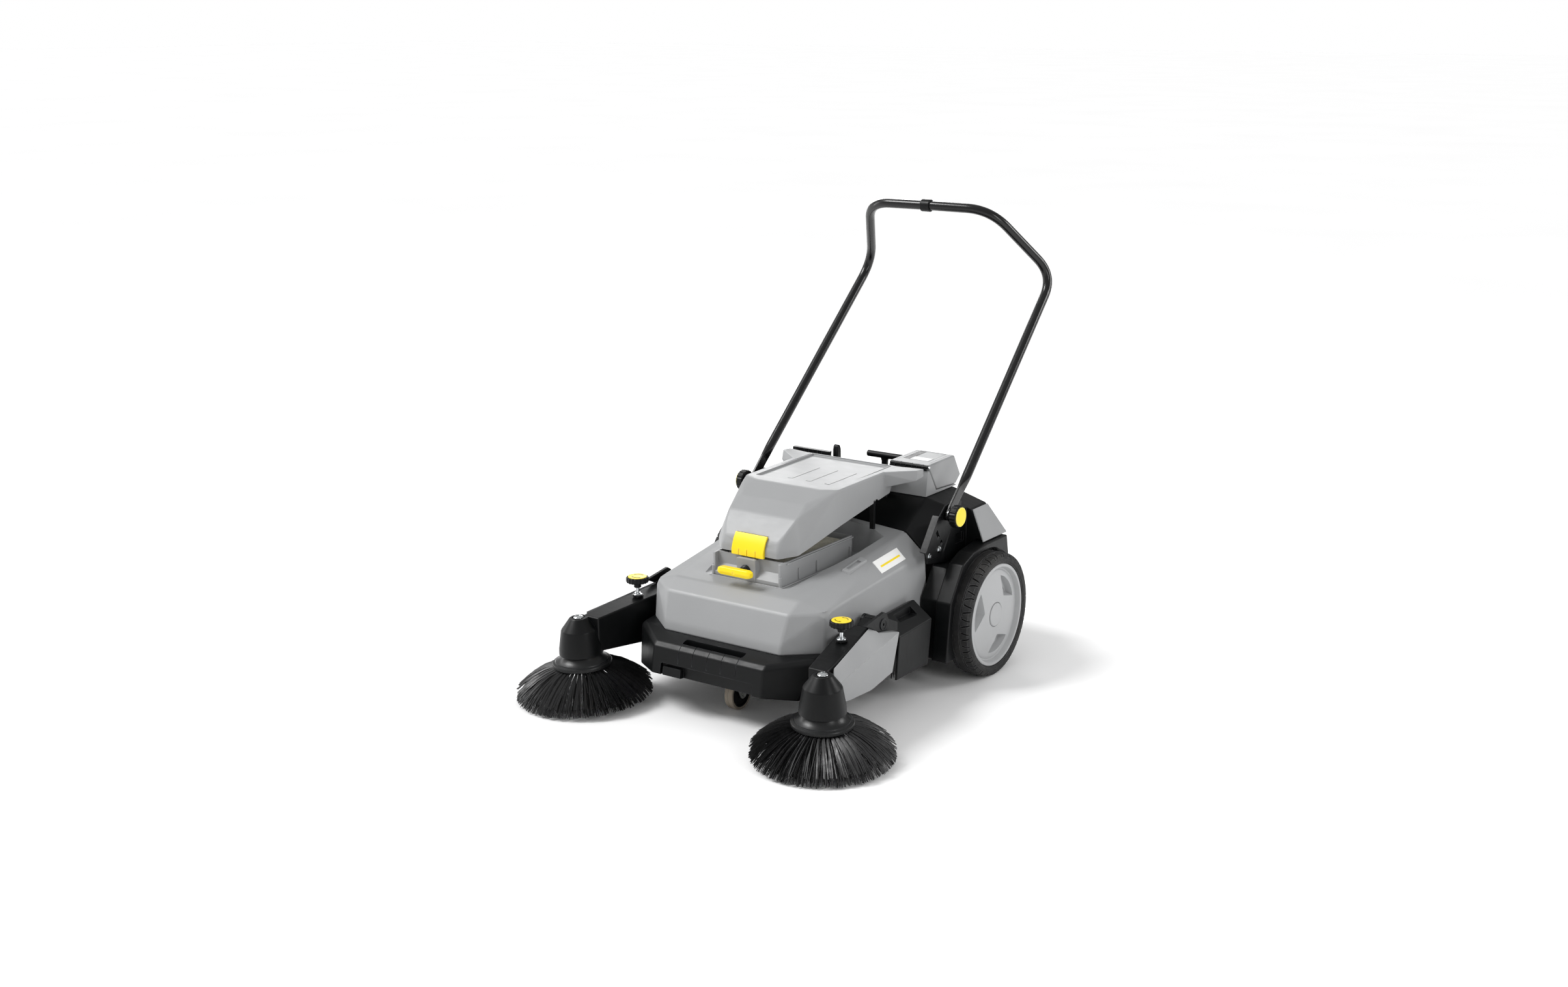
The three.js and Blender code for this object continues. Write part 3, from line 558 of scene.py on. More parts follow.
def hood_shell():
    outer = rounded(hull(both_sides(HOOD_OUTER)), 4.5, 4)
    shoulder = rounded(hull(HOOD_SHOULDER), 2, 2)
    shell = joined(outer, shoulder, mirrored(shoulder))
    tray = rounded(hull(both_sides(HOOD_TRAY)), 2.5, 3)
    groove = joined(
        box((105.5, 109), (-284, -64), (457.6, 480)),
        box((-109, -105.5), (-284, -64), (457.6, 480)),
    )
    shell = cut(shell, hull(both_sides(HOOD_INNER)), prism(HOOD_UNDERSIDE, "X", -200, 200), tray, groove)
    knuckle = joined(rod("X", 91, 110, HOOD_HINGE, 8), box((91, 110), (-58, -44), (441, 455)))
    shell = joined(shell, knuckle, mirrored(knuckle))
    notch = joined(rod("X", 110, 140, (-157, 400.5), 3.4, 20),
                   box((110, 140), (-160.4, -153.6), (380, 400.5)))
    return cut(shell, rod("X", -130, 130, HOOD_HINGE, 3.4, 24), notch, mirrored(notch), latch_room())


def latch_room():
    section = [(-472, 327), (-461, 377), (-442.6, 377), (-441.5, 372), (-453, 358), (-456.4, 327)]
    return joined(prism(section, "X", -41.6, 41.6), rod("X", -30.6, 30.6, (-447, 371), 3.5, 20))


def hood_ribs():
    """Three raised L-shaped lines on the hood's tray, each a short foot and a long leg."""
    bars = []
    for x in (-27, 21, 70):
        bars.append(hull([(x + a, y, z) for a in (-0.7, 0.7) for y, z in
                          ((-257.5, 451.6), (-148, 453.2), (-257.5, 453.1), (-148, 454.8))]))
        bars.append(hull([(x + a, y, z) for a in (-11.5, 0.7) for y, z in
                          ((-258, 451.6), (-256.6, 451.6), (-258, 453.1), (-256.6, 453.1))]))
    return joined(*bars)


def hood_latch():
    section = [(-464.6, 329), (-464.6, 341), (-461.5, 351), (-457, 362), (-448.5, 375), (-444, 372.6),
               (-453.6, 359), (-457, 347), (-457.4, 329)]
    body = rounded(prism(section, "X", -41, 41), 1.0, 2, 20)
    grooves = [box((x - 1.1, x + 1.1), (-466, -462.8), (328, 343)) for x in (-22, -1, 21)]
    lip = box((-35, 35), (-466, -463.9), (343.6, 344.6))
    pin = rod("X", -30, 30, (-447, 371), 3, 24)
    return joined(cut(body, *grooves, lip), pin)


def build_hood():
    piece("hood_shell", hood_shell(), "hood", GREY, ["hood"], edge=0.7)
    piece("hood_tray_lines", hood_ribs(), "hood", GREY, edge=0.2)
    piece("hood_latch_yellow", hood_latch(), "hood_latch", YELLOW, ["hood_latch"], edge=0.3)
    for name, x in (("hinge_bush_l", 100.5), ("hinge_bush_r", -100.5)):
        ring = lathe([(3.3, x - 10), (5.6, x - 10), (5.6, x + 10), (3.3, x + 10)], 32, "X", HOOD_HINGE)
        piece(name, ring, "hood", ZINC, edge=0.3)


# ---------------------------------------------------------------- front deck, filter and shaker
DECK_OUTER = [
    (148, -560, 164), (222, -500, 164), (240, -440, 164), (240, -116, 164),
    (150, -559, 186), (156, -538, 247), (219, -495, 250), (228, -175, 268),
    (231, -116, 289), (160, -504, 270), (182, -121, 335), (50, -121, 345),
]
TRAY_ROOM = [
    (97, -471, 275), (97, -152, 275), (109, -472, 277.5), (109, -472, 380), (149, -262, 314),
    (149, -262, 380), (155, -168, 329), (155, -168, 380), (106, -142, 338), (106, -142, 380),
]
LABEL = [(193.8, -275.9, 303.2), (196.3, -182.3, 313.2), (219.3, -181.1, 291.4), (216.8, -274.7, 281.4)]


def front_deck():
    outer = rounded(hull(both_sides(DECK_OUTER)), 5, 4)
    inner = hull(both_sides([
        (x - DECK_T, y + DECK_T if y < -338 else y - DECK_T, 140 if z < 175 else z - DECK_T)
        for x, y, z in DECK_OUTER
    ]))
    within = shared(hull(both_sides(grown(TRAY_ROOM, 4))), copied(outer))
    room = hull(both_sides(TRAY_ROOM))
    shell = joined(cut(outer, inner), within)
    windows = [
        box((-66, 66), (-440, -200), (260, 280)),
        box((-226, 226), (-130, -100), (150, 262)),
        box((-180, 180), (-130, -100), (250, 318)),
    ]
    return cut(shell, room, *windows)


def tray_bead():
    """The raised rim that follows the foot of the filter housing."""
    outer = prism([(-94, -473), (94, -473), (94, -186), (-94, -186)], "Z", 275.2, 277.4)
    inner = prism([(-90.5, -469.5), (90.5, -469.5), (90.5, -189), (-90.5, -189)], "Z", 270, 290)
    return cut(outer, inner)


def finger_boss():
    """The raised finger pocket in front of the label."""
    foot = [(160, -354, 290), (184, -354, 284), (161, -276, 302), (188, -276, 292)]
    top = [(164, -349, 301.5), (180, -349, 298.5), (165, -280, 313), (183, -280, 308.5)]
    slot = [(168, -341, 295), (177, -341, 293), (169, -296, 302), (179, -296, 300)]
    body = rounded(hull(foot + top), 2.2, 3)
    return cut(body, hull(slot + [(x, y, z + 20) for x, y, z in slot]))


def slab_on(corners, below, above):
    """A plate on four coplanar corners, from below to above its plane."""
    a, b, c = (Vector(p) for p in corners[:3])
    normal = (b - a).cross(c - b).normalized()
    normal = -normal if normal.z < 0 else normal
    return hull([tuple(Vector(p) + normal * t) for p in corners for t in (below, above)])


def label_band():
    """The plain yellow stripe of the label."""
    a, b, c, d = (Vector(p) for p in LABEL)

    def at(u, v):
        return tuple(a.lerp(b, u).lerp(d.lerp(c, u), v))

    return slab_on([at(0.12, 0.5), at(0.9, 0.5), at(0.9, 0.64), at(0.12, 0.64)], 0.9, 1.35)


def filter_housing():
    """Open box with a middle block and sloping lower panels on its front."""
    body = rounded(box((-88, 88), (-467, -190), (274.4, 326)), 2.5, 3)
    slope = [(-480, 284), (-467.4, 284), (-454, 301), (-454, 340), (-480, 340)]
    body = cut(body, *[prism(slope, "X", *x) for x in ((-82, -20), (20, 82))])
    nose = rounded(box((-24, 24), (-469, -445), (276, 325)), 1.5, 2)
    posts = [rod("Z", 274.6, 297, (x, -466.5), 3.4, 24) for x in (-86.5, 86.5)]
    clips = []
    for x in ((86, 91), (-91, -86)):
        for y in (-400, -332, -202):
            clips.append(rounded(box(x, (y - 2.6, y + 2.6), (280, 304)), 0.8, 2))
    flange = box((-92, 92), (-446, -192), (321.5, 324))
    body = joined(body, nose, flange, *posts, *clips)
    hollow = prism([(-463, 279), (-463, 283), (-450, 300), (-450, 340), (-194, 340), (-194, 279)], "X", -84,
                   84)
    middle = box((-20, 20), (-465, -440), (283, 340))
    return cut(body, cut(hollow, middle), rod("Y", -480, -430, (0, 300), 6.5, 32),
               box((-60, 60), (-436, -204), (270, 285)))


def shaker_collar():
    """Ribbed black sleeve between the middle block and the grip."""
    profile = [(6.4, -484), (8, -484), (8.8, -480), (10.2, -478.6), (9.4, -476.6), (11.2, -475),
               (10.6, -473),
               (12, -471.4), (12, -469.4), (6.4, -469.4)]
    return lathe(profile, 40, "Y", (0, 300))


def filter_shaker():
    ends = [(-514, 297), (-500, 297), (-516, 305), (-498, 305), (-514, 313.5), (-500, 313.5)]
    taper = [(-512, 299), (-502, 299), (-514, 305), (-500, 305), (-512, 311), (-502, 311)]
    grip = hull([(x, y, z) for x in (-34, 34) for y, z in ends] + [(x, y, z) for x in (-42, 42) for y,
                                                                   z in taper])
    grip = rounded(grip, 1.6, 3)
    mark = box((-2.5, 3.5), (-520, -514.8), (302, 308))
    return joined(cut(grip, mark), rod("Y", -506, -438, (0, 300), 6, 32))


def hood_stay():
    """The rounded upright that the notch in the hood's side sits over."""
    body = joined(rod("X", 113, 124, (-157, 396.5), 3.1, 24),
                  box((113, 124), (-160.1, -153.9), (338, 396.5)))
    return rounded(body, 0.8, 2, 40)


def pleated_filter():
    pitch = 220 / 28
    top = []
    for i in range(28):
        top += [(-210 - pitch * i, 304), (-210 - pitch * (i + 0.5), 320)]
    pack = prism([*top, (-430, 304), (-430, 290), (-210, 290)], "X", -74, 74)
    rim = box((-80, 80), (-434, -206), (280, 291))
    return joined(pack, rounded(rim, 1.5, 2))


def build_deck():
    piece("front_deck_shell", front_deck(), "machine", GREY, ["front_deck"], edge=0.7)
    piece("tray_bead", tray_bead(), "machine", GREY, edge=0.6)
    piece("finger_boss_l", finger_boss(), "machine", GREY, edge=0.4)
    piece("label_plate", rounded(slab_on(LABEL, -3, 0.9), 0.5, 2), "machine", LABEL_WHITE)
    piece("label_stripe", label_band(), "machine", YELLOW)
    piece("filter_box", filter_housing(), "machine", GREY, ["filter_housing"], edge=0.6)
    sided("hood_stay_{}", hood_stay, "machine", BLACK, edge=0.3)
    piece("shaker_collar", shaker_collar(), "machine", BLACK)
    piece("filter_shaker_grip", filter_shaker(), "filter_shaker", YELLOW, ["filter_shaker"], edge=0.4)
    piece("pleated_filter", pleated_filter(), "machine", FILTER, ["flat_filter"])


# ---------------------------------------------------------------- bumper and lower body
TUB_PLAN = [(142, -550), (222, -485), (232, -440), (232, -290)]
BUMPER = [
    (141, -597, 154), (141, -607, 144), (219, -537, 167), (227, -541, 158), (232, -480, 164),
    (228, -470, 169),
    (232, -440, 168),
    (148, -558, 166), (141, -617, 87), (205, -573, 82), (232, -485, 82), (232, -440, 82),
]


def plan_block(half, low, high):
    return hull(both_sides([(x, y, z) for x, y in half for z in (low, high)]))


def front_bumper():
    outer = rounded(hull(both_sides(BUMPER)), 3.5, 3)
    tub = plan_block([(x + 0.6, y - 0.6) for x, y in TUB_PLAN], 40, 200)
    deck = hull(both_sides(grown(DECK_OUTER, 0.7)))
    slot = rounded(box((-78, 78), (-592, -574), (118, 190)), 4, 3)
    lower = cut(rounded(box((-119, 119), (-630, -603), (60, 113)), 3, 2),
                rounded(box((-112, -66), (-622, -590), (84, 106)), 2, 2))
    seam = [(-640, 175), (-640, 118), (-611, 118), (-605.6, 143.6), (-596.4, 152.6), (-586, 156.4),
            (-586, 175)]
    seams = [prism(seam, "X", x - 0.8, x + 0.8) for x in (-75, -38, 0, 36, 74)]
    castor_room = rod("Z", 50, CASTOR_ROOM[1], (0, CASTOR_STEM_Y), CASTOR_ROOM[0], 64)
    return cut(outer, tub, deck, slot, lower, castor_room, *seams)


def build_bumper():
    piece("front_bumper_shell", front_bumper(), "machine", BLACK, ["front_bumper"], edge=0.8)


# ---------------------------------------------------------------- fenders, housing and side boxes
HOUSING = [
    (182, -35, 392), (182, 90, 392), (268, -12, 366), (266, 90, 368), (306, 0, 301), (306, 106, 301),
    (300, 106, 262.6), (300, 0, 262.6), (232, -113, 288), (232, -113, 262.6), (182, -117.5, 333),
]


def rear_housing():
    outer = rounded(hull(both_sides(HOUSING)), 3, 3)
    recess = rounded(box((256, 330), (-200, 18), (240, 420)), 2, 2)
    lip = box((281.4, 330), (-200, 200), (240, 300.6))
    screw_pocket = rounded(box((250, 262), (-30, 8), (296, 318)), 2, 2)
    shell = cut(outer, recess, mirrored(recess), lip, mirrored(lip), screw_pocket, mirrored(screw_pocket))
    rooms = [
        box((-213, 213), (21, 200), (200, 352)),
        box((-64, 64), (40, 200), (200, 420)),
        box((-180, 180), (-130, 22), (200, 322)),
    ]
    return cut(shell, *rooms)


def fender_panel():
    """Grey panel on the slope above the wheel, with the narrow facet at its back edge."""
    slope = (0.863, 0, 0.505)
    face = [(270, 19, 365), (270, 84, 365), (308, 0, 300), (309, 106, 300)]
    return rounded(hull([tuple(Vector(p) + Vector(slope) * t) for p in face for t in (0.6, 4.6)]), 1.4, 3)


def fender():
    block = [(-160, 68), (-150, 199), (-104, 262), (112, 262), (112, 68)]
    lip = [(-171, 68), (-155, 199), (-104, 275), (-60, 292), (0, 299), (95, 299), (104, 256), (112, 68)]
    body = rounded(prism(block, "X", 240.6, 285), 3, 3)
    rim = rounded(prism(lip, "X", 282, 320), 3.2, 3)
    arch = rod("X", 290, 330, (0, AXLE_Z), WHEEL_R + 8, 96)
    rear = box((289.9, 330), (60, 200), (60, 250))
    rooms = [
        prism([(-148, 60), (-139, 196), (-98, 250), (-16, 250), (-16, 60)], "X", 245, 276),
        box((245, 276), (16, 104), (60, 250)),
    ]
    axle = rod("X", 200, 330, (0, AXLE_Z), 9.4, 32)
    return cut(joined(body, rim), arch, rear, axle, *rooms)


def side_box():
    points = [
        (300, -345, 78), (300, -335, 171), (300, -201, 177), (300, -214, 77), (256, -330, 208),
        (256, -205, 213), (241, -345, 78), (241, -330, 202), (241, -205, 206), (241, -214, 77),
    ]
    body = rounded(hull(points), 2.6, 3)
    ears = []
    for low, high in ((241.5, 247), (282, 288)):
        rim = [polar(15, a, ARM_PIVOT) for a in range(0, 360, 15)]
        ears.append(hull([(x, y, z) for x in (low, high) for y, z in [*rim, (-325, 165), (-325, 200)]]))
    slot = rounded(box((262, 290), (-300, -232), (190, 230)), 2, 2)
    return cut(joined(body, *ears), rod("X", 200, 330, ARM_PIVOT, 5.3, 32), slot,
               box((247, 296), (-348, -220), (70, 150)))


def build_lower_body():
    piece("rear_housing_shell", rear_housing(), "machine", BLACK, ["rear_housing"], edge=0.7)
    sided("fender_panel_face_{}", fender_panel, "machine", GREY, ["fender_panel_{}"])
    sided("fender_shell_{}", fender, "machine", BLACK, ["fender_{}"], edge=0.6)
    sided("side_box_shell_{}", side_box, "machine", BLACK, ["side_box_{}"], edge=0.5)


# ---------------------------------------------------------------- push handle
def rounded_path(corners, reach, steps):
    """Points along a polyline whose corners are rounded over the given distance."""
    points = [Vector(p) for p in corners]
    path = [points[0]]
    for before, corner, after in zip(points, points[1:], points[2:]):
        start = corner.lerp(before, min(0.42, reach / (before - corner).length))
        end = corner.lerp(after, min(0.42, reach / (after - corner).length))
        for i in range(steps + 1):
            t = i / steps
            path.append(start * (1 - t) ** 2 + corner * (2 * t * (1 - t)) + end * t ** 2)
    return path + [points[-1]]


def oval(centre, across, along, half_across, half_along, squareness, steps=32):
    """A ring of points: an ellipse, or with more squareness a rounded rectangle."""
    ring = []
    for i in range(steps):
        c, s = math.cos(math.tau * i / steps), math.sin(math.tau * i / steps)
        u = math.copysign(abs(c) ** (2 / squareness), c) * half_across
        v = math.copysign(abs(s) ** (2 / squareness), s) * half_along
        ring.append(centre + across * u + along * v)
    return ring


def sweep(stations):
    """A skin along stations of (centre, half width across, half width along, squareness)."""
    centres = [s[0] for s in stations]
    across = Vector((1, 0, 0))
    rings = []
    for i, (centre, a, b, squareness) in enumerate(stations):
        tangent = (centres[min(i + 1, len(centres) - 1)] - centres[max(i - 1, 0)]).normalized()
        across = (across - tangent * across.dot(tangent)).normalized()
        rings.append(oval(centre, across, tangent.cross(across), a, b, squareness))
    return loft(rings)


def push_handle():
    pivot = Vector(HANDLE_PIVOT)
    elbow = Vector(HANDLE_ELBOW)
    away = Vector((0, elbow.y - pivot.y, elbow.z - pivot.z)).normalized()
    strip = []
    for d in (-12.9, -12, -10, -7, -3, 0, 25, 50, 66):
        strip.append((pivot + away * d, 3, math.sqrt(169 - min(d, 0) ** 2), 9))
    for d, a, b, squareness in ((74, 4.5, 12.8, 5), (84, 7, 12.2, 3), (94, 9.4, 11.4, 2.3)):
        strip.append((pivot + away * d, a, b, squareness))
    corners = [pivot + away * 106, elbow, Vector(HANDLE_CORNER), Vector(HANDLE_MIDDLE)]
    across_middle = [Vector((-p.x, p.y, p.z)) for p in reversed(corners)]
    tube = [(p, 10.8, 10.8, 2) for p in rounded_path(corners + across_middle, 62, 14)]
    far = [(Vector((-p.x, p.y, p.z)), a, b, squareness) for p, a, b, squareness in reversed(strip)]
    bore = rod("X", 250, 280, (pivot.y, pivot.z), 4.7, 24)
    return cut(sweep(strip + tube + far), bore, mirrored(bore))


def handle_sleeve():
    return lathe([(11.2, -12), (13.4, -12), (14.3, -10.8), (14.3, 10.8), (13.4, 12), (11.2, 12)],
                 48, "X", HANDLE_MIDDLE[1:])


def hex_bolt(x, centre, across, height):
    """A washer and a hexagon head on an X face; the bolt looks outwards."""
    washer = lathe([(0, x), (across * 0.8, x), (across * 0.8, x + 0.9), (0, x + 0.9)], 32, "X", centre)
    head = prism([polar(across / 2 / math.cos(math.pi / 6), 60 * i + 30, centre) for i in range(6)],
                 "X", x + 0.8, x + height)
    crown = lathe([(0, x), (across * 0.46, x), (across * 0.46, x + height - 0.4),
                   (across * 0.36, x + height + 0.3),
                   (0, x + height + 0.3)], 32, "X", centre)
    return joined(washer, head, crown)


BRACKET = [(-166, 303), (-159, 286), (-96, 288), (-60, 335), (-14, 374), (-12, 392), (-34, 400), (-84, 396),
           (-108, 376)]


def handle_bracket():
    plate = rounded(prism(BRACKET, "X", 256.6, 260.4), 1.2, 3)
    fold = rounded(prism([(-164, 306), (-110, 378), (-105, 375), (-159, 303)], "X", 243, 260.4), 1.2, 2)
    slots = [
        prism([(-124, 343), (-117, 349), (-106, 331), (-113, 325)], "X", 250, 270),
        prism([(-106, 318), (-98, 324), (-92, 314), (-100, 308)], "X", 250, 270),
    ]
    pivot_hole = rod("X", 240, 270, HANDLE_PIVOT[1:], 4.7, 24)
    return cut(joined(plate, fold), *slots, pivot_hole)


def clamp_knob():
    y, z = HANDLE_PIVOT[1:]
    outline = []
    for i in range(120):
        a = 3 * i
        r = 24.4 + 0.6 * math.cos(math.radians(20 * a))
        outline.append(polar(r, a, (y, z)))
    disc = rounded(prism(outline, "X", 277, 295), 3.2, 4, 30)
    face = rod("X", 293.2, 300, (y, z), 21.6, 64)
    neck = lathe([(0, 269.6), (12, 269.6), (12.6, 271), (11, 273), (11, 276), (15, 279), (0, 279)], 48, "X",
                 (y, z))
    return joined(cut(disc, face), neck, rod("X", 257, 270, (y, z), 4.2, 24))


def clamp_washer():
    return lathe([(4.3, 268.2), (13.6, 268.2), (14.6, 268.8), (14.6, 269.4), (13.6, 270), (4.3, 270)], 48,
                 "X",
                 HANDLE_PIVOT[1:])


def clamp_cap():
    profile = [(0, 293.4), (21.2, 293.4), (21.2, 295.2), (20.3, 296.2), (12, 297), (0, 297.4)]
    return lathe(profile, 72, "X", HANDLE_PIVOT[1:])


def clamp_cap_rim():
    return lathe([(19.6, 295.4), (21, 294.8), (21.2, 296.3), (20.6, 296.9), (19.6, 296.6)], 72, "X",
                 HANDLE_PIVOT[1:])


def build_handle():
    piece("handle_tube", push_handle(), "push_handle", PAINT, ["push_handle"], angle=28)
    piece("handle_grip_sleeve", handle_sleeve(), "push_handle", BLACK, ["handle_sleeve"], edge=0.3)
    sided("handle_plate_{}", handle_bracket, "machine", BLACK, ["handle_bracket_{}"], edge=0.4)
    for name, centre, across in (("low", (-108, 303), 10), ("front", (-151, 297), 8),
                                 ("top", (-60, 386), 8)):
        sided(f"bracket_bolt_{name}_{{}}", lambda: hex_bolt(260.5, centre, across, 4), "machine", CHROME,
              edge=0.2)
    sided("clamp_wheel_{}", clamp_knob, "clamp_knob_{}", BLACK, ["clamp_knob_{}"], edge=0.3)
    sided("clamp_washer_{}", clamp_washer, "clamp_knob_{}", CHROME)
    sided("clamp_face_{}", clamp_cap, "clamp_knob_{}", YELLOW, ["clamp_cap_{}"])
    sided("clamp_face_rim_{}", clamp_cap_rim, "clamp_knob_{}", PALE_YELLOW)


# ---------------------------------------------------------------- side arms
TOP_LINE = (Vector((280, -419, 214.5)), Vector((320, -622, 187.5)))
CREASE = (Vector((309, -352, 189)), Vector((319, -586, 153)))
COVER_BOTTOM = [(-345, 118), (-380, 110), (-467, 98), (-553, 104), (-622, 114)]


def on_brush_axis(obj):
    """Leans a solid drawn about the Z axis onto the axis of the left brush."""
    down = BRUSH_TOP[2]
    lean, splay = math.radians(BRUSH_LEAN), math.radians(BRUSH_SPLAY)
    place = Matrix.Translation((BRUSH_TOP[0] - down * math.tan(splay), BRUSH_TOP[1] + down * math.tan(lean),
                                0))
    return moved(obj, place @ Matrix.Rotation(splay, 4, "Y") @ Matrix.Rotation(lean, 4, "X"))


def on_line(line, y):
    """The point of a straight line at a given Y."""
    one, two = line
    return one.lerp(two, (y - one.y) / (two.y - one.y))


def height_at(y):
    for (y0, z0), (y1, z1) in zip(COVER_BOTTOM, COVER_BOTTOM[1:]):
        if y1 <= y <= y0:
            return z0 + (z1 - z0) * (y - y0) / (y1 - y0)
    return COVER_BOTTOM[-1][1]


def side_arm():
    points = []
    for y, x0, low, x1, mid, top_x, top in (
        (-422, 243, 112, 286, 196, 274, 213),
        (-480, 236, 104, 297, 184, 288, 206.5),
        (-634, 270, 112, 312, 168, 314, 187),
    ):
        points += [(x0, y, low), (x1, y, low), (x1, y, mid), (top_x, y, top), (x0, y, top)]
    beam = rounded(hull(points), 3, 3)
    barrel = rod("X", 249.4, 279.6, ARM_PIVOT, 14, 48)
    neck = hull([(x, y, z) for x in (249.4, 279.6) for y, z in
                 ((-424, 180), (-424, 213), (-392, 200), (-386, 225.5), (-400, 224))])
    vents = [box((251.5, 277.5), (y - 1.3, y + 1.3), (217, 240)) for y in (-398, -391, -384)]
    housing = on_brush_axis(lathe(
        [(0, 185.6), (18.8, 185.6), (20.6, 184.4), (38.6, 161), (40, 158.4), (47.2, 119), (47.9, 107),
         (44.4, 107),
         (44.4, 120), (0, 120)], 96))
    screw_recess = on_brush_axis(lathe([(0, 184.2), (14.5, 184.2), (14.5, 190), (0, 190)], 48))
    drive_room = on_brush_axis(rod("Z", 60, 120, (0, 0), 44, 64))
    foot = rod("Z", 205.9, 208.6, KNOB, 12.5, 32)
    return cut(
        joined(beam, rounded(joined(barrel, cut(neck, *vents)), 0.8, 2, 40), housing, foot),
        drive_room, screw_recess,
        rod("X", 240, 300, ARM_PIVOT, 5.4, 32),
        rod("Z", 150, 240, KNOB, 4.4, 24),
    )


def arm_ear():
    """The pointed plate on the outside of the knuckle, with its round boss."""
    outline = [(-453, 225), (-378, 236), (-368, 230), (-361, 217), (-360, 204), (-366, 193), (-399, 197),
               (-429, 214)]
    plate = rounded(prism(outline, "X", 280.6, 288.4), 1.2, 3)
    boss = rod("X", 284, 290.4, (-383, 211), 12.5, 48)
    ring = rod("X", 289.6, 292, (-383, 211), 10.2, 48)
    hole = rod("X", 287, 300, (-383, 211), 3.2, 24)
    return cut(joined(plate, rounded(boss, 0.8, 2, 40)), ring, hole)


def cover_body():
    rings = []
    for y in range(-345, -623, -9):
        top, crease = on_line(TOP_LINE, y), on_line(CREASE, y)
        low = height_at(y)
        rings.append([top, crease, Vector((crease.x + 0.5, y, low)), Vector((crease.x - 9, y, low)),
                      Vector((crease.x - 9, y, crease.z - 6)), Vector((top.x - 1.5, y, top.z - 10))])
    body = loft(rings)
    notch = [(-422, 260), (-420.5, 216), (-407, 199.5), (-353, 189.8), (-330, 187), (-330, 260)]
    rear = [(-351.5, 192), (-380, 110), (-385, 60), (-300, 60), (-300, 192)]
    rim = [box((200, 340), (-700, -618), (60, 240))]
    return cut(body, prism(notch, "X", 200, 340), prism(rear, "X", 200, 340), *rim)


def arm_cover():
    crease_line = [oval(on_line(CREASE, y), Vector((1, 0, 0)), Vector((0, 0, 1)), 0.55, 0.55, 2, 8)
                   for y in (-340, -630)]
    return cut(cover_body(), loft(crease_line))


def adjust_knob():
    centre = KNOB
    outline = []
    for i in range(144):
        a = 2.5 * i
        outline.append(polar(24.2 + 0.7 * math.cos(math.radians(18 * a)), a, centre))
    disc = rounded(prism(outline, "Z", 236.5, 249.4), 3, 4, 30)
    bowl = rod("Z", 248.2, 260, centre, 21, 64)
    neck = lathe([(0, 225), (7.2, 225), (8, 226), (8, 232), (12, 237.5), (0, 238)], 48, "Z", centre)
    return joined(cut(disc, bowl), neck)


def adjust_spindle():
    return lathe([(0, 152), (3.6, 152), (4, 153), (4, 226.5), (0, 226.5)], 40, "Z", KNOB)


def adjust_washer():
    return lathe([(4.2, 208.8), (9, 208.8), (10.2, 209.6), (9.4, 210.6), (6.4, 211.2), (6.4, 213.4),
                  (4.2, 213.4)],
                 48, "Z", KNOB)


def adjust_cap():
    return lathe([(0, 248.3), (20.6, 248.3), (20.6, 249.8), (19.8, 250.5), (9, 250.9), (0, 251)], 72, "Z",
                 KNOB)


def turn_arrow(start, sweep_angle):
    """A flat curved arrow on the knob's face that shows which way it turns."""
    inner = [polar(12.6, start + sweep_angle * i / 12, KNOB) for i in range(13)]
    outer = [polar(13.9, start + sweep_angle * i / 12, KNOB) for i in range(13)]
    shaft = prism(outer + inner[::-1], "Z", 250.2, 251.2)
    end = start + sweep_angle
    head = prism([polar(11, end, KNOB), polar(15.6, end, KNOB), polar(13.2, end + 14, KNOB)], "Z", 250.2,
                 251.2)
    return joined(shaft, head)


def hub_screw():
    head = lathe([(0, 184.4), (11, 184.4), (11, 186.2), (9.4, 188.2), (5, 189.9), (0, 190.4)], 56)
    cross = joined(box((-5.2, 5.2), (-0.95, 0.95), (187, 195)), box((-0.95, 0.95), (-5.2, 5.2), (187, 195)))
    return on_brush_axis(cut(head, cross))


def brush_plate():
    profile = [(0, 119), (16, 119), (16, 106), (42.6, 105.4), (44, 103), (47.4, 98), (52, 94), (56.4, 91.4),
               (57, 89.9), (58.4, 90.3), (63.2, 88), (64, 86.4), (64, 81.4), (63, 80.4), (57, 78.2),
               (0, 78)]
    return on_brush_axis(lathe(profile, 128))


def strand(bm, points, root_r, tip_r):
    """One bristle: a three-sided blade along the points, thinner at its tip."""
    rings = []
    last = len(points) - 1
    for i, point in enumerate(points):
        tangent = (points[min(i + 1, last)] - points[max(i - 1, 0)]).normalized()
        across = tangent.cross(Vector((0, 0, 1))).normalized()
        up = tangent.cross(across)
        r = root_r + (tip_r - root_r) * i / last
        ring = []
        for k in range(3):
            a = math.tau * k / 3
            ring.append(bm.verts.new(point + across * (r * math.cos(a)) + up * (r * math.sin(a))))
        rings.append(ring)
    for one, two in zip(rings, rings[1:]):
        for k in range(3):
            bm.faces.new((one[k], one[(k + 1) % 3], two[(k + 1) % 3], two[k]))
    bm.faces.new(rings[0])
    bm.faces.new(rings[-1])


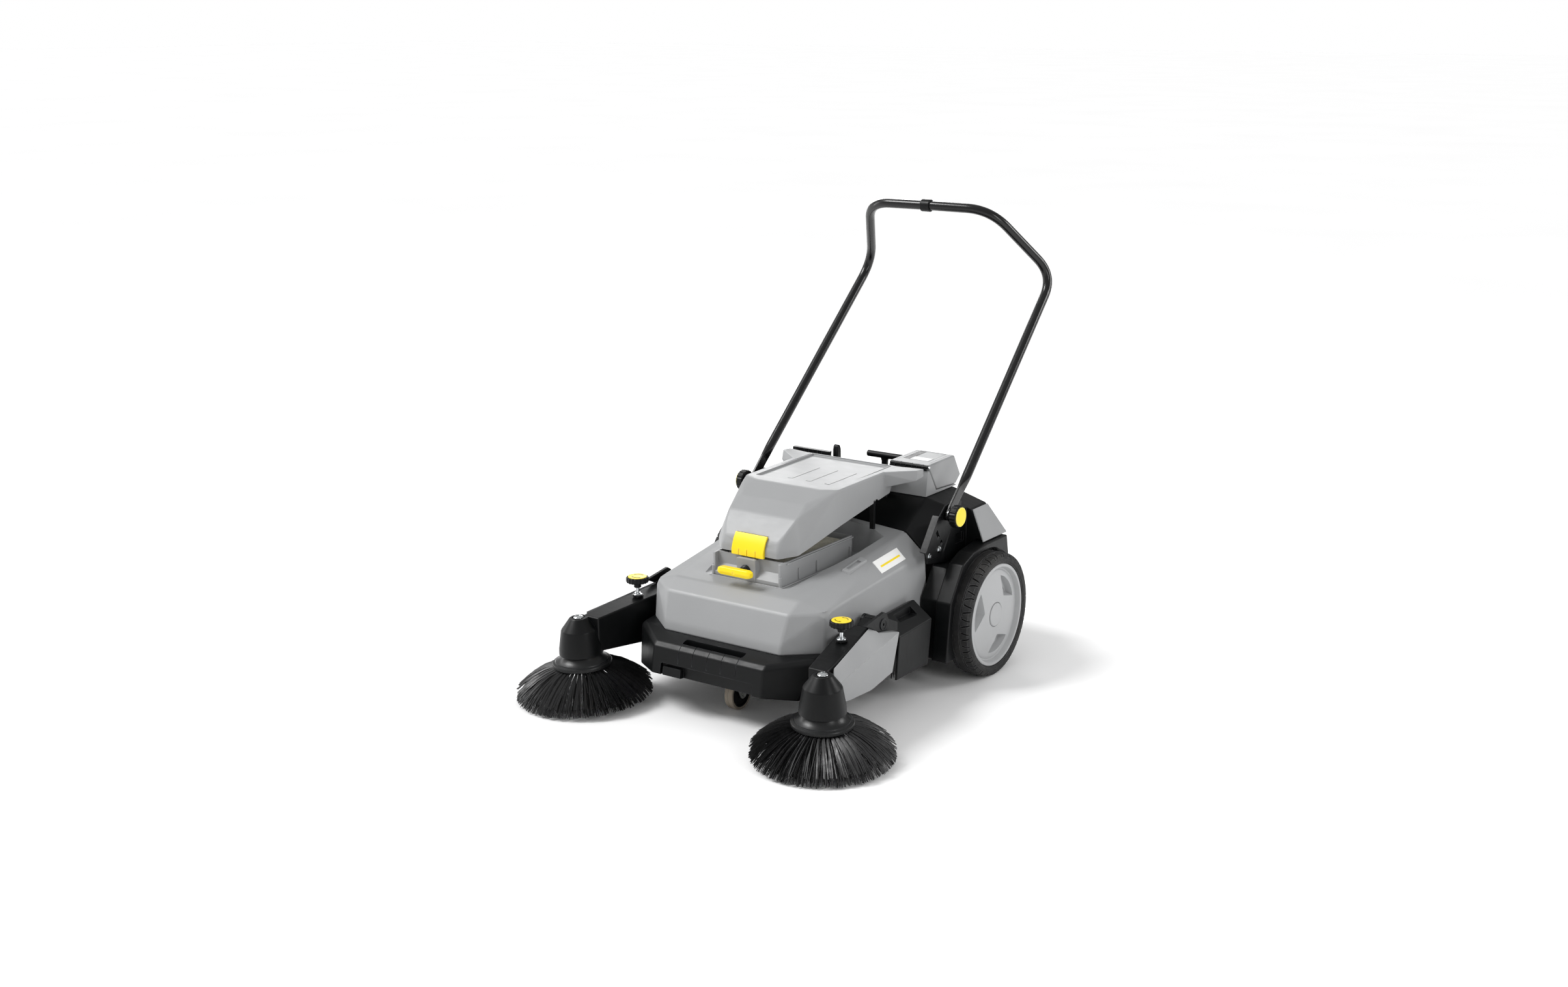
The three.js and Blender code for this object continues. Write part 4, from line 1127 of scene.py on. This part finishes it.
def brush_bristles(seed):
    """Two rings of tufts that flare down to the floor, the outer one longest."""
    chance = random.Random(seed)
    bm = bmesh.new()
    rings = ((46, 57, (114, 60), (147.8, 12), 15), (46, 58, (108, 68), (147.4, 30), 7),
             (40, 42, (84, 50), (124, 12), 8))
    for tufts, root_r, knee, tip, strands in rings:
        for tuft in range(tufts):
            middle = math.tau * (tuft + 0.5 * (root_r < 50)) / tufts
            for _ in range(strands):
                root_a = math.degrees(middle + chance.gauss(0, 0.017))
                tip_a = math.degrees(middle + chance.gauss(0, 0.05))
                reach = 1 - abs(chance.gauss(0, 0.03))
                low = tip[1] + chance.uniform(0, 3) + 30 * (1 - reach)
                p0 = Vector((*polar(root_r + chance.uniform(-2, 2), root_a), 79))
                p1 = Vector((*polar(knee[0], (root_a + tip_a) / 2), knee[1] + chance.uniform(-5, 3)))
                p2 = Vector((*polar(tip[0] * reach, tip_a), low))
                path = [p0.lerp(p1, t).lerp(p1.lerp(p2, t), t) for t in (0, 0.25, 0.5, 0.75, 1)]
                strand(bm, path, 1.5, 0.9)
    return on_brush_axis(as_object(bm, "bristles"))


def build_arms():
    sided("arm_beam_{}", side_arm, "side_arm_{}", SATIN_BLACK, ["side_arm_{}"], edge=0.5)
    sided("arm_ear_{}", arm_ear, "side_arm_{}", BLACK)
    sided("arm_cover_shell_{}", arm_cover, "side_arm_{}", GREY, ["arm_cover_{}"], edge=0.5, angle=14)
    sided("arm_pin_{}", lambda: rod("X", 241.8, 280, ARM_PIVOT, 5, 32), "machine", ZINC,
          ["arm_pivot_pin_{}"], edge=0.4)
    sided("adjust_wheel_{}", adjust_knob, "adjust_knob_{}", BLACK, ["adjust_knob_{}"], edge=0.3)
    sided("adjust_spindle_{}", adjust_spindle, "adjust_knob_{}", CHROME)
    sided("adjust_washer_{}", adjust_washer, "adjust_knob_{}", CHROME)
    sided("adjust_face_{}", adjust_cap, "adjust_knob_{}", YELLOW, ["adjust_cap_{}"])
    for name, start in (("one", 20), ("two", 200)):
        sided(f"turn_mark_{name}_{{}}", lambda: turn_arrow(start, 85), "adjust_knob_{}", BLACK)
    sided("hub_screw_head_{}", hub_screw, "side_arm_{}", CHROME, ["hub_screw_{}"], edge=0.2)
    sided("brush_collar_{}", brush_plate, "side_brush_{}", GLOSS_BLACK, ["brush_plate_{}"], angle=24)
    sided("bristle_tufts_{}", lambda: brush_bristles(7), "side_brush_{}", BRISTLE, ["brush_bristles_{}"],
          angle=70)


# ---------------------------------------------------------------- wheels and castor
LUGS = 28
RIM_POCKETS = (44, 164, 284)


def groove(x, angles, half_width, depth_r):
    """A slot in the tread from one place and angle to another, in millimetres and degrees."""
    corners = []
    for place, middle in zip(x, angles):
        for r in (depth_r, 144):
            for turn in (-half_width, half_width):
                corners.append((place, *polar(r, middle + turn, (0, AXLE_Z))))
    return hull(corners)


def tyre():
    inner, outer = TYRE_X
    profile = [
        (RIM_R + 1, inner + 2), (122, inner + 0.6), (131, inner + 1.4), (137.5, inner + 5),
        (139.6, inner + 11),
        (139.9, inner + 26), (139.9, outer - 18), (139.6, outer - 9), (137.6, outer - 3.6),
        (132, outer - 0.8),
        (126, outer), (121, outer - 0.8), (119.6, outer - 2.6), (RIM_R + 1, outer - 2.6),
    ]
    body = lathe(profile, 240, "X", (0, AXLE_Z))
    grooves = []
    for x in (inner + 20, inner + 37):
        grooves.append(lathe([(137.6, x - 1.2), (142, x - 1.6), (142, x + 1.6), (137.6, x + 1.2)], 180, "X",
                             (0, AXLE_Z)))
    for i in range(LUGS):
        middle = 360 / LUGS * i
        for side in (-1, 1):
            grooves.append(groove((outer + 2, outer - 18), (middle + side * 4.7, middle + side * 2.5), 0.7,
                                  130.5))
        grooves.append(groove((outer - 17, outer - 18.6), (middle, middle), 2.6, 134.5))
        grooves.append(groove((inner - 2, inner + 12), (middle + 6, middle + 6), 1.4, 134.5))
    band = lathe([(124, outer - 0.45), (130.5, outer - 0.45), (130.5, outer + 1), (124, outer + 1)], 180,
                 "X", (0, AXLE_Z))
    return cut(body, band, *grooves)


def rim():
    profile = [
        (0, 348.4), (25, 348.4), (26.4, 347.4), (26.8, 344.4), (28, 344), (28.6, 346.4), (31, 346.8),
        (60, 345.4),
        (92, 342.4), (99, 341), (102, 339.4), (104.6, 340), (107.4, 348), (109, 350.4), (114.4, 350.6),
        (RIM_R - 0.2, 349.6), (RIM_R - 0.2, 300), (105, 320), (32, 320), (32, 293.4), (10.4, 293.4),
        (10.4, 340), (0, 340),
    ]
    centre = (0, AXLE_Z)
    disc = lathe(profile, 160, "X", centre)
    pockets = []
    for middle in RIM_POCKETS:
        arc = [polar(91, middle + a, centre) for a in (-33, -25, -16, -8, 0, 8, 16, 25, 33)]
        floor = [polar(84, middle + a, centre) for a in (-23, -12, 0, 12, 23)]
        tip, floor_tip = polar(48, middle, centre), polar(58, middle, centre)
        outline = [(352, y, z) for y, z in [*arc, tip]] + [(327, y, z) for y, z in [*floor, floor_tip]]
        pockets.append(rounded(hull(outline), 1.6, 3))
        hole = [polar(80, middle + a, centre) for a in (-17, 0, 17)] + [polar(62, middle, centre)]
        pockets.append(prism(hole, "X", 310, 334))
    return cut(disc, *pockets)


def castor_fork():
    top = lathe([(6.6, 78), (17, 78), (20, 79.6), (20, 84), (18, 85), (18, 86.4), (19.6, 87.2), (15, 89.6),
                 (6.6, 90)],
                64, "Z", (0, CASTOR_STEM_Y))
    cheeks = []
    for x in (12.2, -14.6):
        outline = [(-537, 80), (-501, 80), (-492, 58), (-488, 40), (-489, 31), (-494, 26), (-502, 25),
                   (-508, 29),
                   (-517, 46), (-528, 66)]
        cheeks.append(rounded(prism(outline, "X", x, x + 2.4), 0.7, 2))
    hub = (CASTOR_Y, CASTOR_R)
    nuts = [prism([polar(6, 60 * i, hub) for i in range(6)], "X", *x) for x in ((14.5, 18.4),
                                                                                (-18.4, -14.5))]
    stem_room = rod("Z", 85, 95, (0, CASTOR_STEM_Y), 6.5, 32)
    return cut(joined(top, *cheeks, rod("X", -16, 16, hub, 3, 24), *nuts), stem_room)


def castor_tread():
    profile = [(30, -10), (34, -10.6), (35.4, -9.4), (36, -7), (36, -1.2), (35.4, -0.8), (35.4, 0.8),
               (36, 1.2),
               (36, 7), (35.4, 9.4), (34, 10.6), (30, 10)]
    return lathe(profile, 96, "X", (CASTOR_Y, CASTOR_R))


def castor_centre():
    half = [(3.4, 11), (9, 11), (10, 8.4), (25, 7.6), (26.6, 10), (29.6, 10)]
    profile = [(r, -x) for r, x in half] + [(r, x) for r, x in half[::-1]]
    return lathe(profile, 96, "X", (CASTOR_Y, CASTOR_R))


def castor_plate():
    plate = rounded(box((-30, 30), (CASTOR_STEM_Y - 24, CASTOR_STEM_Y + 24), (92, 97.4)), 1.6, 3)
    holes = [rod("Z", 60, 110, (x, CASTOR_STEM_Y + y), 3, 20) for x in (-23, 23) for y in (-17, 17)]
    return joined(cut(plate, *holes), rod("Z", 86, 93, (0, CASTOR_STEM_Y), 6, 32))


def build_wheels():
    sided("tyre_tread_{}", tyre, "wheel_{}", TYRE, ["tyre_{}"], edge=0.5, angle=24)
    sided("rim_disc_{}", rim, "wheel_{}", RIM_GREY, ["rim_{}"], edge=0.5)
    axle = lathe([(0, -339), (7.8, -339), (9, -337.8), (9, 337.8), (7.8, 339), (0, 339)], 48, "X",
                 (0, AXLE_Z))
    piece("rear_axle_bar", axle, "machine", ZINC, ["rear_axle"])
    piece("castor_fork_pressing", castor_fork(), "castor_fork", ZINC, ["castor_fork"], edge=0.3)
    piece("castor_tread", castor_tread(), "castor_wheel", TREAD, ["castor_wheel"])
    piece("castor_hub", castor_centre(), "castor_wheel", DEEP_BLACK)
    piece("castor_mount", castor_plate(), "machine", ZINC, ["castor_plate"], edge=0.3)


# ---------------------------------------------------------------- rear box, hinge parts and waste container
def rear_box():
    section = [(-35, 392.8), (-29, 452), (-23, 449.5), (-20.5, 449.5), (11, 399.8), (100, 396),
               (100, 392.8)]
    return rounded(prism(section, "X", 80, 182), 1.2, 3, 20)


def box_lid():
    outer = [(-24, 463), (91, 465), (121, 415), (101, 397), (12.5, 400.8), (-20.5, 450.8)]
    inner = [(-10, 447), (-8, 459), (88.5, 460.8), (115.5, 414.8), (97, 397.5), (97, 380), (20, 380)]
    shell = rounded(prism(outer, "X", 80, 182), 4, 4, 20)
    room = prism(inner, "X", 84, 178)
    recess = rounded(hull([(x, y, z + d) for x in (96, 163) for y,
                           z in ((6, 463.5), (88, 464.9)) for d in (-0.9, 9)]),
                     0.4, 2)
    grooves = [box((x - 0.5, x + 0.5), (-6, 90), (462.6, 470)) for x in (172.5, 89)]
    return cut(joined(shell, rod("X", 84, 178, LID_HINGE, 3.5, 24)), room, recess, *grooves)


def lid_strip(x0, x1):
    return hull([(x, y, z + d) for x in (x0, x1) for y, z in ((7, 462.6), (87, 463.9)) for d in (0, 0.5)])


def lid_panel():
    return rounded(hull([(x, y, z + d) for x in (113, 160) for y,
                         z in ((9, 462.7), (33, 463.1)) for d in (0, 1)]), 0.3, 2)


def piano_hinge(keep):
    """Every second knuckle of the lid's long hinge, with its leaf."""
    knuckles = []
    for i in range(7):
        if i % 2 == keep:
            x = 83 + i * 14
            knuckles.append(lathe([(1.4, x + 0.3), (4.3, x + 0.3), (4.3, x + 13.5), (1.4, x + 13.5)], 32,
                                  "X", LID_HINGE))
            knuckles.append(box((x + 0.3, x + 13.5), (-26.5, -20) if keep else (-31, -25),
                                (461.2, 463) if keep else (451.5, 456)))
    return joined(*knuckles)


def hinge_pin():
    pin = rod("X", 82, 183.4, LID_HINGE, 1.3, 20)
    head = lathe([(0, 182.2), (3.4, 182.2), (3.6, 183.2), (2.6, 184.2), (0, 184.4)], 32, "X", LID_HINGE)
    return joined(pin, head)


def t_bar():
    bar = lathe([(0, -47), (5.4, -47), (7.2, -45.6), (7.5, -43), (7.3, -12), (7.5, 0), (7.3, 12), (7.5, 43),
                 (7.2, 45.6), (5.4, 47), (0, 47)], 56, "X", (85, 441))
    foot = rounded(hull(both_sides([(24, 76, 346.4), (24, 94, 346.4), (9, 79, 366), (9, 91, 366)])), 1.4, 3)
    stem = loft([oval(Vector((0, 85, z)), Vector((1, 0, 0)), Vector((0, 1, 0)), a, b, 3.4)
                 for z, a, b in ((364, 9, 6), (400, 7.6, 5.6), (428, 7.6, 5.6), (438, 10.5, 6.4))])
    return joined(bar, foot, stem)


def waste_container():
    side = [(26, 50), (26, 346), (130, 346), (236, 278), (236, 72), (214, 50)]
    room = [(30, 54), (30, 342), (128.8, 342), (232, 275.8), (232, 73.7), (212.3, 54)]
    body = rounded(prism(side, "X", -210, 210), 7, 5, 20)
    panel = rounded(box((-150, 150), (234.4, 250), (110, 240)), 1.2, 3)
    ribs = [rounded(box((x - 4, x + 4), (229, 235.9), (78, 104)), 1.5, 2) for x in range(-160, 161, 40)]
    grip = rounded(box((-62, 62), (222, 240), (250, 272)), 3, 3)
    shell = cut(joined(body, *ribs), prism(room, "X", -206, 206), box((-195, 195), (20, 40), (235, 338)),
                panel)
    return cut(shell, shared(grip, prism([(228, 250), (240, 250), (240, 272), (228, 272)], "X", -70, 70)))


def hinge_bracket():
    lug = joined(rod("X", 78, 90.4, HOOD_HINGE, 7, 40), box((78, 90.4), (-51, -37), (405, HOOD_HINGE[1])))
    foot = prism([(-51, 382.5), (-37, 392), (-37, 428), (-51, 428)], "X", -90.4, 90.4)
    shelf = box((-58, 22), (-38, -4), (422, 432))
    stub = joined(box((-60, -57), (-24, -9), (424, 442)), rod("X", -76, -57, (-16, 434), 3, 24))
    body = rounded(joined(foot, lug, mirrored(lug), shelf), 1, 2, 40)
    slots = [box((x - 6, x + 6), (-60, -30), (398, 416)) for x in (-60, -30, 0, 30, 60)]
    return cut(joined(body, stub), rod("X", -120, 120, HOOD_HINGE, 3.4, 24), *slots)


def hinge_rail():
    upright = [(-31, 392.6), (-31, 461), (-20, 461), (-20, 455), (-25, 452), (-25, 392.6)]
    end = [(-31, 425), (-31, 461), (-25, 461), (-23, 450), (-19, 438), (-13, 429), (-6, 425), (-6, 392.6),
           (-25, 392.6)]
    rail = joined(prism(upright, "X", -180, -80), prism(end, "X", -82, -78))
    ticks = [box((x - 0.5, x + 0.5), (-40, -29.8), (436, 470)) for x in range(-172, -88, 12)]
    return cut(rounded(rail, 0.9, 2, 40), *ticks)


def selector_lever():
    blade = [(-23, 427), (-9, 427), (-8, 446), (-8.6, 466), (-12, 475), (-17, 478), (-21.5, 475),
             (-24, 466),
             (-24, 446)]
    body = rounded(prism(blade, "X", -74, -60.8), 2, 3, 20)
    return cut(body, rod("X", -90, -50, (-16, 434), 3.4, 24), box((-71, -64), (-40, -22.6), (450, 472)))


def build_rear():
    piece("rear_box_wall", rear_box(), "machine", GREY, ["rear_box"], edge=0.4)
    piece("lid_shell", box_lid(), "box_lid", GREY, ["box_lid"], edge=0.4)
    for name, x0, x1 in (("lid_strip_in", 97, 112), ("lid_strip_out", 161, 162.6)):
        piece(name, lid_strip(x0, x1), "box_lid", BLACK)
    piece("lid_panel", lid_panel(), "box_lid", PALE_GREY)
    piece("hinge_knuckles_lid", piano_hinge(1), "box_lid", BLACK, edge=0.3)
    piece("hinge_knuckles_box", piano_hinge(0), "machine", BLACK, edge=0.3)
    piece("lid_hinge_pin", hinge_pin(), "machine", CHROME)
    piece("hinge_bracket_body", hinge_bracket(), "machine", BLACK, ["hinge_bracket"])
    pin = lathe([(0, -112), (2.2, -112), (3, -111), (3, 111), (2.2, 112), (0, 112)], 32, "X", HOOD_HINGE)
    piece("hood_pin", pin, "machine", ZINC, ["hood_hinge_pin"])
    piece("hinge_rail_body", hinge_rail(), "machine", BLACK, ["hinge_rail"])
    piece("selector_blade", selector_lever(), "selector_lever", BLACK, ["selector_lever"])
    piece("container_shell", waste_container(), "waste_container", BLACK, ["waste_container"], edge=0.5)
    piece("container_t_bar", t_bar(), "waste_container", SATIN_BLACK, ["container_handle"], edge=0.3)


# ---------------------------------------------------------------- roller, drive and battery
def roller_bristles():
    """Twelve rows of tufts wound round the roller in a gentle V."""
    chance = random.Random(3)
    bm = bmesh.new()
    low, high = ROLLER["x"]
    for row in range(12):
        for step in range(26):
            x = low + 8 + (high - low - 16) * step / 25
            turn = 30 * row + 0.12 * abs(x)
            for _ in range(5):
                a0, a1 = turn + chance.uniform(-3, 3), turn + chance.gauss(0, 5)
                shift = chance.gauss(0, 3)
                points = []
                for r, a, dx in ((62, a0, 0), (88, (a0 + a1) / 2, shift / 2),
                                 (chance.uniform(107, 110.6), a1, shift)):
                    y, z = polar(r, a, (ROLLER["y"], ROLLER["z"]))
                    points.append(Vector((max(low, min(high, x + dx)), y, z)))
                strand(bm, points, 1.6, 1.0)
    return as_object(bm, "roller")


def roller_core():
    centre = (ROLLER["y"], ROLLER["z"])
    low, high = ROLLER["x"]
    core = lathe([(0, low), (62, low), (66, low + 3), (66, high - 3), (62, high), (0, high)], 72, "X",
                 centre)
    sheave = lathe([(0, 197), (33, 197), (33, 199.2), (31.2, 200), (31.2, 208), (33, 208.8), (33, 210),
                    (0, 210)], 72, "X",
                   centre)
    holes = [rod("X", 190, 220, polar(20, a, centre), 5, 24) for a in range(0, 360, 60)]
    return joined(core, cut(sheave, *holes), rod("X", 180, 200, centre, 8.4, 32))


def drive_motor():
    y, z = MOTOR["y"], MOTOR["z"]
    low, high = MOTOR["x"]
    case = lathe([(0, low), (28, low), (30, low + 2), (30, low + 20), (31.5, low + 22), (31.5, high - 22),
                  (30, high - 20),
                  (30, high - 2), (28, high), (0, high)], 72, "X", (y, z))
    ribs = []
    for a in range(0, 360, 15):
        turn = Matrix.Translation((0, y, z)) @ Matrix.Rotation(math.radians(a), 4,
                                                               "X") @ Matrix.Translation((0, -y, -z))
        ribs.append(moved(box((low + 30, high - 30), (y - 1, y + 1), (z + 30, z + 34)), turn))
    return joined(cut(case, *ribs), rod("X", high - 2, 212, (y, z), 5, 32))


def motor_pulley():
    centre = (MOTOR["y"], MOTOR["z"])
    return lathe([(5.4, 198.2), (15, 198.2), (15, 199.4), (13.4, 200), (13.4, 208.4), (15, 209), (15, 210),
                  (5.4, 210)], 56,
                 "X", centre)


def battery_pack():
    case = rounded(box((-140, 140), (-445, -308), (81, 222)), 5, 4)
    ledge = rounded(box((-136, 136), (-441, -312), (219, 224)), 1.6, 2)
    handle = rounded(box((-60, 60), (-390, -370), (221, 231.6)), 3, 3)
    finger = box((-46, 46), (-395, -365), (218, 227))
    grooves = [box((x - 1.2, x + 1.2), (-450, -443.6), (95, 205)) for x in range(-120, 121, 24)]
    terminals = [lathe([(0, 220), (9, 220), (9, 226), (6, 229), (0, 229)], 32, "Z",
                       (x, -330)) for x in (-112, 112)]
    return joined(cut(joined(case, ledge), *grooves), cut(handle, finger), *terminals)


def dressed(node, finish, edge):
    """Shows a CAD node itself, with softened edges and a finish."""
    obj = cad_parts[node]
    dress(obj, finish)
    weld = obj.modifiers.new("weld", "WELD")
    weld.merge_threshold = WELD_DISTANCE
    soften(obj, edge, EDGE_SEGMENTS, EDGE_ANGLE).harden_normals = True


def build_inside():
    piece("roller_tufts", roller_bristles(), "main_roller", BRISTLE, ["main_roller"], angle=70)
    piece("roller_core", roller_core(), "main_roller", DEEP_BLACK, edge=0.3)
    shaft = lathe([(0, -221), (7.4, -221), (8.4, -220), (8.4, -208), (0, -208)], 40, "X",
                  (ROLLER["y"], ROLLER["z"]))
    piece("roller_stub", shaft, "main_roller", ZINC)
    piece("motor_case", drive_motor(), "machine", MOTOR_CASE, ["drive_motor"], edge=0.3)
    piece("pulley_body", motor_pulley(), "motor_pulley", ZINC, ["motor_pulley"])
    piece("battery_case", battery_pack(), "machine", BATTERY, ["battery_pack"], edge=0.4)
    dressed("drive_belt", BELT, 0.8)
    dressed("chassis", BLACK, 1.2)


# ---------------------------------------------------------------- floor, light and camera
def build_stage():
    bm = bmesh.new()
    bmesh.ops.create_grid(bm, x_segments=2, y_segments=2, size=FLOOR_HALF)
    floor = as_object(bm, "floor")
    nodes = Nodes("pale_floor")
    tone = nodes.between(nodes.noise(0.8, 2), 0, 1)
    nodes.link(nodes.mix(tone, (0.93, 0.93, 0.93, 1), (0.95, 0.95, 0.95, 1)), "Base Color")
    nodes.shader.inputs["Roughness"].default_value = 0.8
    nodes.shader.inputs["Specular IOR Level"].default_value = 0.1
    floor.data.materials.append(nodes.material)


def aim(light, place, target):
    light.location = place
    light.rotation_euler = (Vector(target) - Vector(place)).to_track_quat("-Z", "Y").to_euler()
    SCENE.collection.objects.link(light)


def area_light(name, place, target, size, power):
    data = bpy.data.lights.new(name, "AREA")
    data.shape = "RECTANGLE"
    data.size, data.size_y = size
    data.energy = power
    aim(bpy.data.objects.new(name, data), place, target)


def sun_light(name, place, target, strength, softness):
    data = bpy.data.lights.new(name, "SUN")
    data.energy = strength
    data.angle = math.radians(softness)
    aim(bpy.data.objects.new(name, data), place, target)


def build_world():
    """A soft white room, brightest towards the key light, dimmest opposite it, with a white horizon."""
    world = bpy.data.worlds.new("studio")
    world.use_nodes = True
    tree = world.node_tree
    background = tree.nodes["Background"]
    place = tree.nodes.new("ShaderNodeTexCoord").outputs["Generated"]

    def ramp(value, *ends):
        node = tree.nodes.new("ShaderNodeMapRange")
        node.interpolation_type = "SMOOTHSTEP"
        tree.links.new(value, node.inputs["Value"])
        for socket, end in zip(("From Min", "From Max", "To Min", "To Max"), ends):
            node.inputs[socket].default_value = end
        return node.outputs["Result"]

    toward_key = operate(tree, "ShaderNodeVectorMath", "DOT_PRODUCT", place, Vector(KEY_FROM).normalized())
    height = tree.nodes.new("ShaderNodeSeparateXYZ")
    tree.links.new(place, height.inputs[0])
    room = ramp(toward_key.outputs["Value"], -0.6, 0.95, *ROOM_LIGHT)
    horizon = ramp(height.outputs["Z"], *HORIZON, 1.0, 0.0)
    brighter = operate(tree, "ShaderNodeMath", "MAXIMUM", room, horizon)
    tree.links.new(brighter.outputs[0], background.inputs["Strength"])
    background.inputs["Color"].default_value = (1, 1, 1, 1)
    SCENE.world = world


def build_light():
    build_world()
    SCENE.view_settings.view_transform = "Standard"
    sun_light("key", KEY_FROM, (0, 0, 0), KEY_STRENGTH, KEY_SOFTNESS)
    for name, (place, size, power) in LIGHTS.items():
        area_light(name, place, LIGHTS_AIM, size, power)


def build_camera():
    data = bpy.data.cameras.new("camera")
    data.lens = CAMERA_LENS
    data.sensor_width = 36
    data.clip_end = 200
    camera = bpy.data.objects.new("camera", data)
    azimuth, elevation = math.radians(CAMERA_TURN), math.radians(CAMERA_DOWN)
    look = Vector((-math.sin(azimuth) * math.cos(elevation), math.cos(azimuth) * math.cos(elevation),
                   -math.sin(elevation)))
    camera.location = CAMERA_AT
    camera.rotation_mode = "QUATERNION"
    camera.rotation_quaternion = look.to_track_quat("-Z", "Y")
    SCENE.collection.objects.link(camera)
    SCENE.camera = camera


# ---------------------------------------------------------------- everything
build_hood()
build_deck()
build_bumper()
build_lower_body()
build_handle()
build_arms()
build_wheels()
build_rear()
build_inside()
build_stage()
build_light()
build_camera()
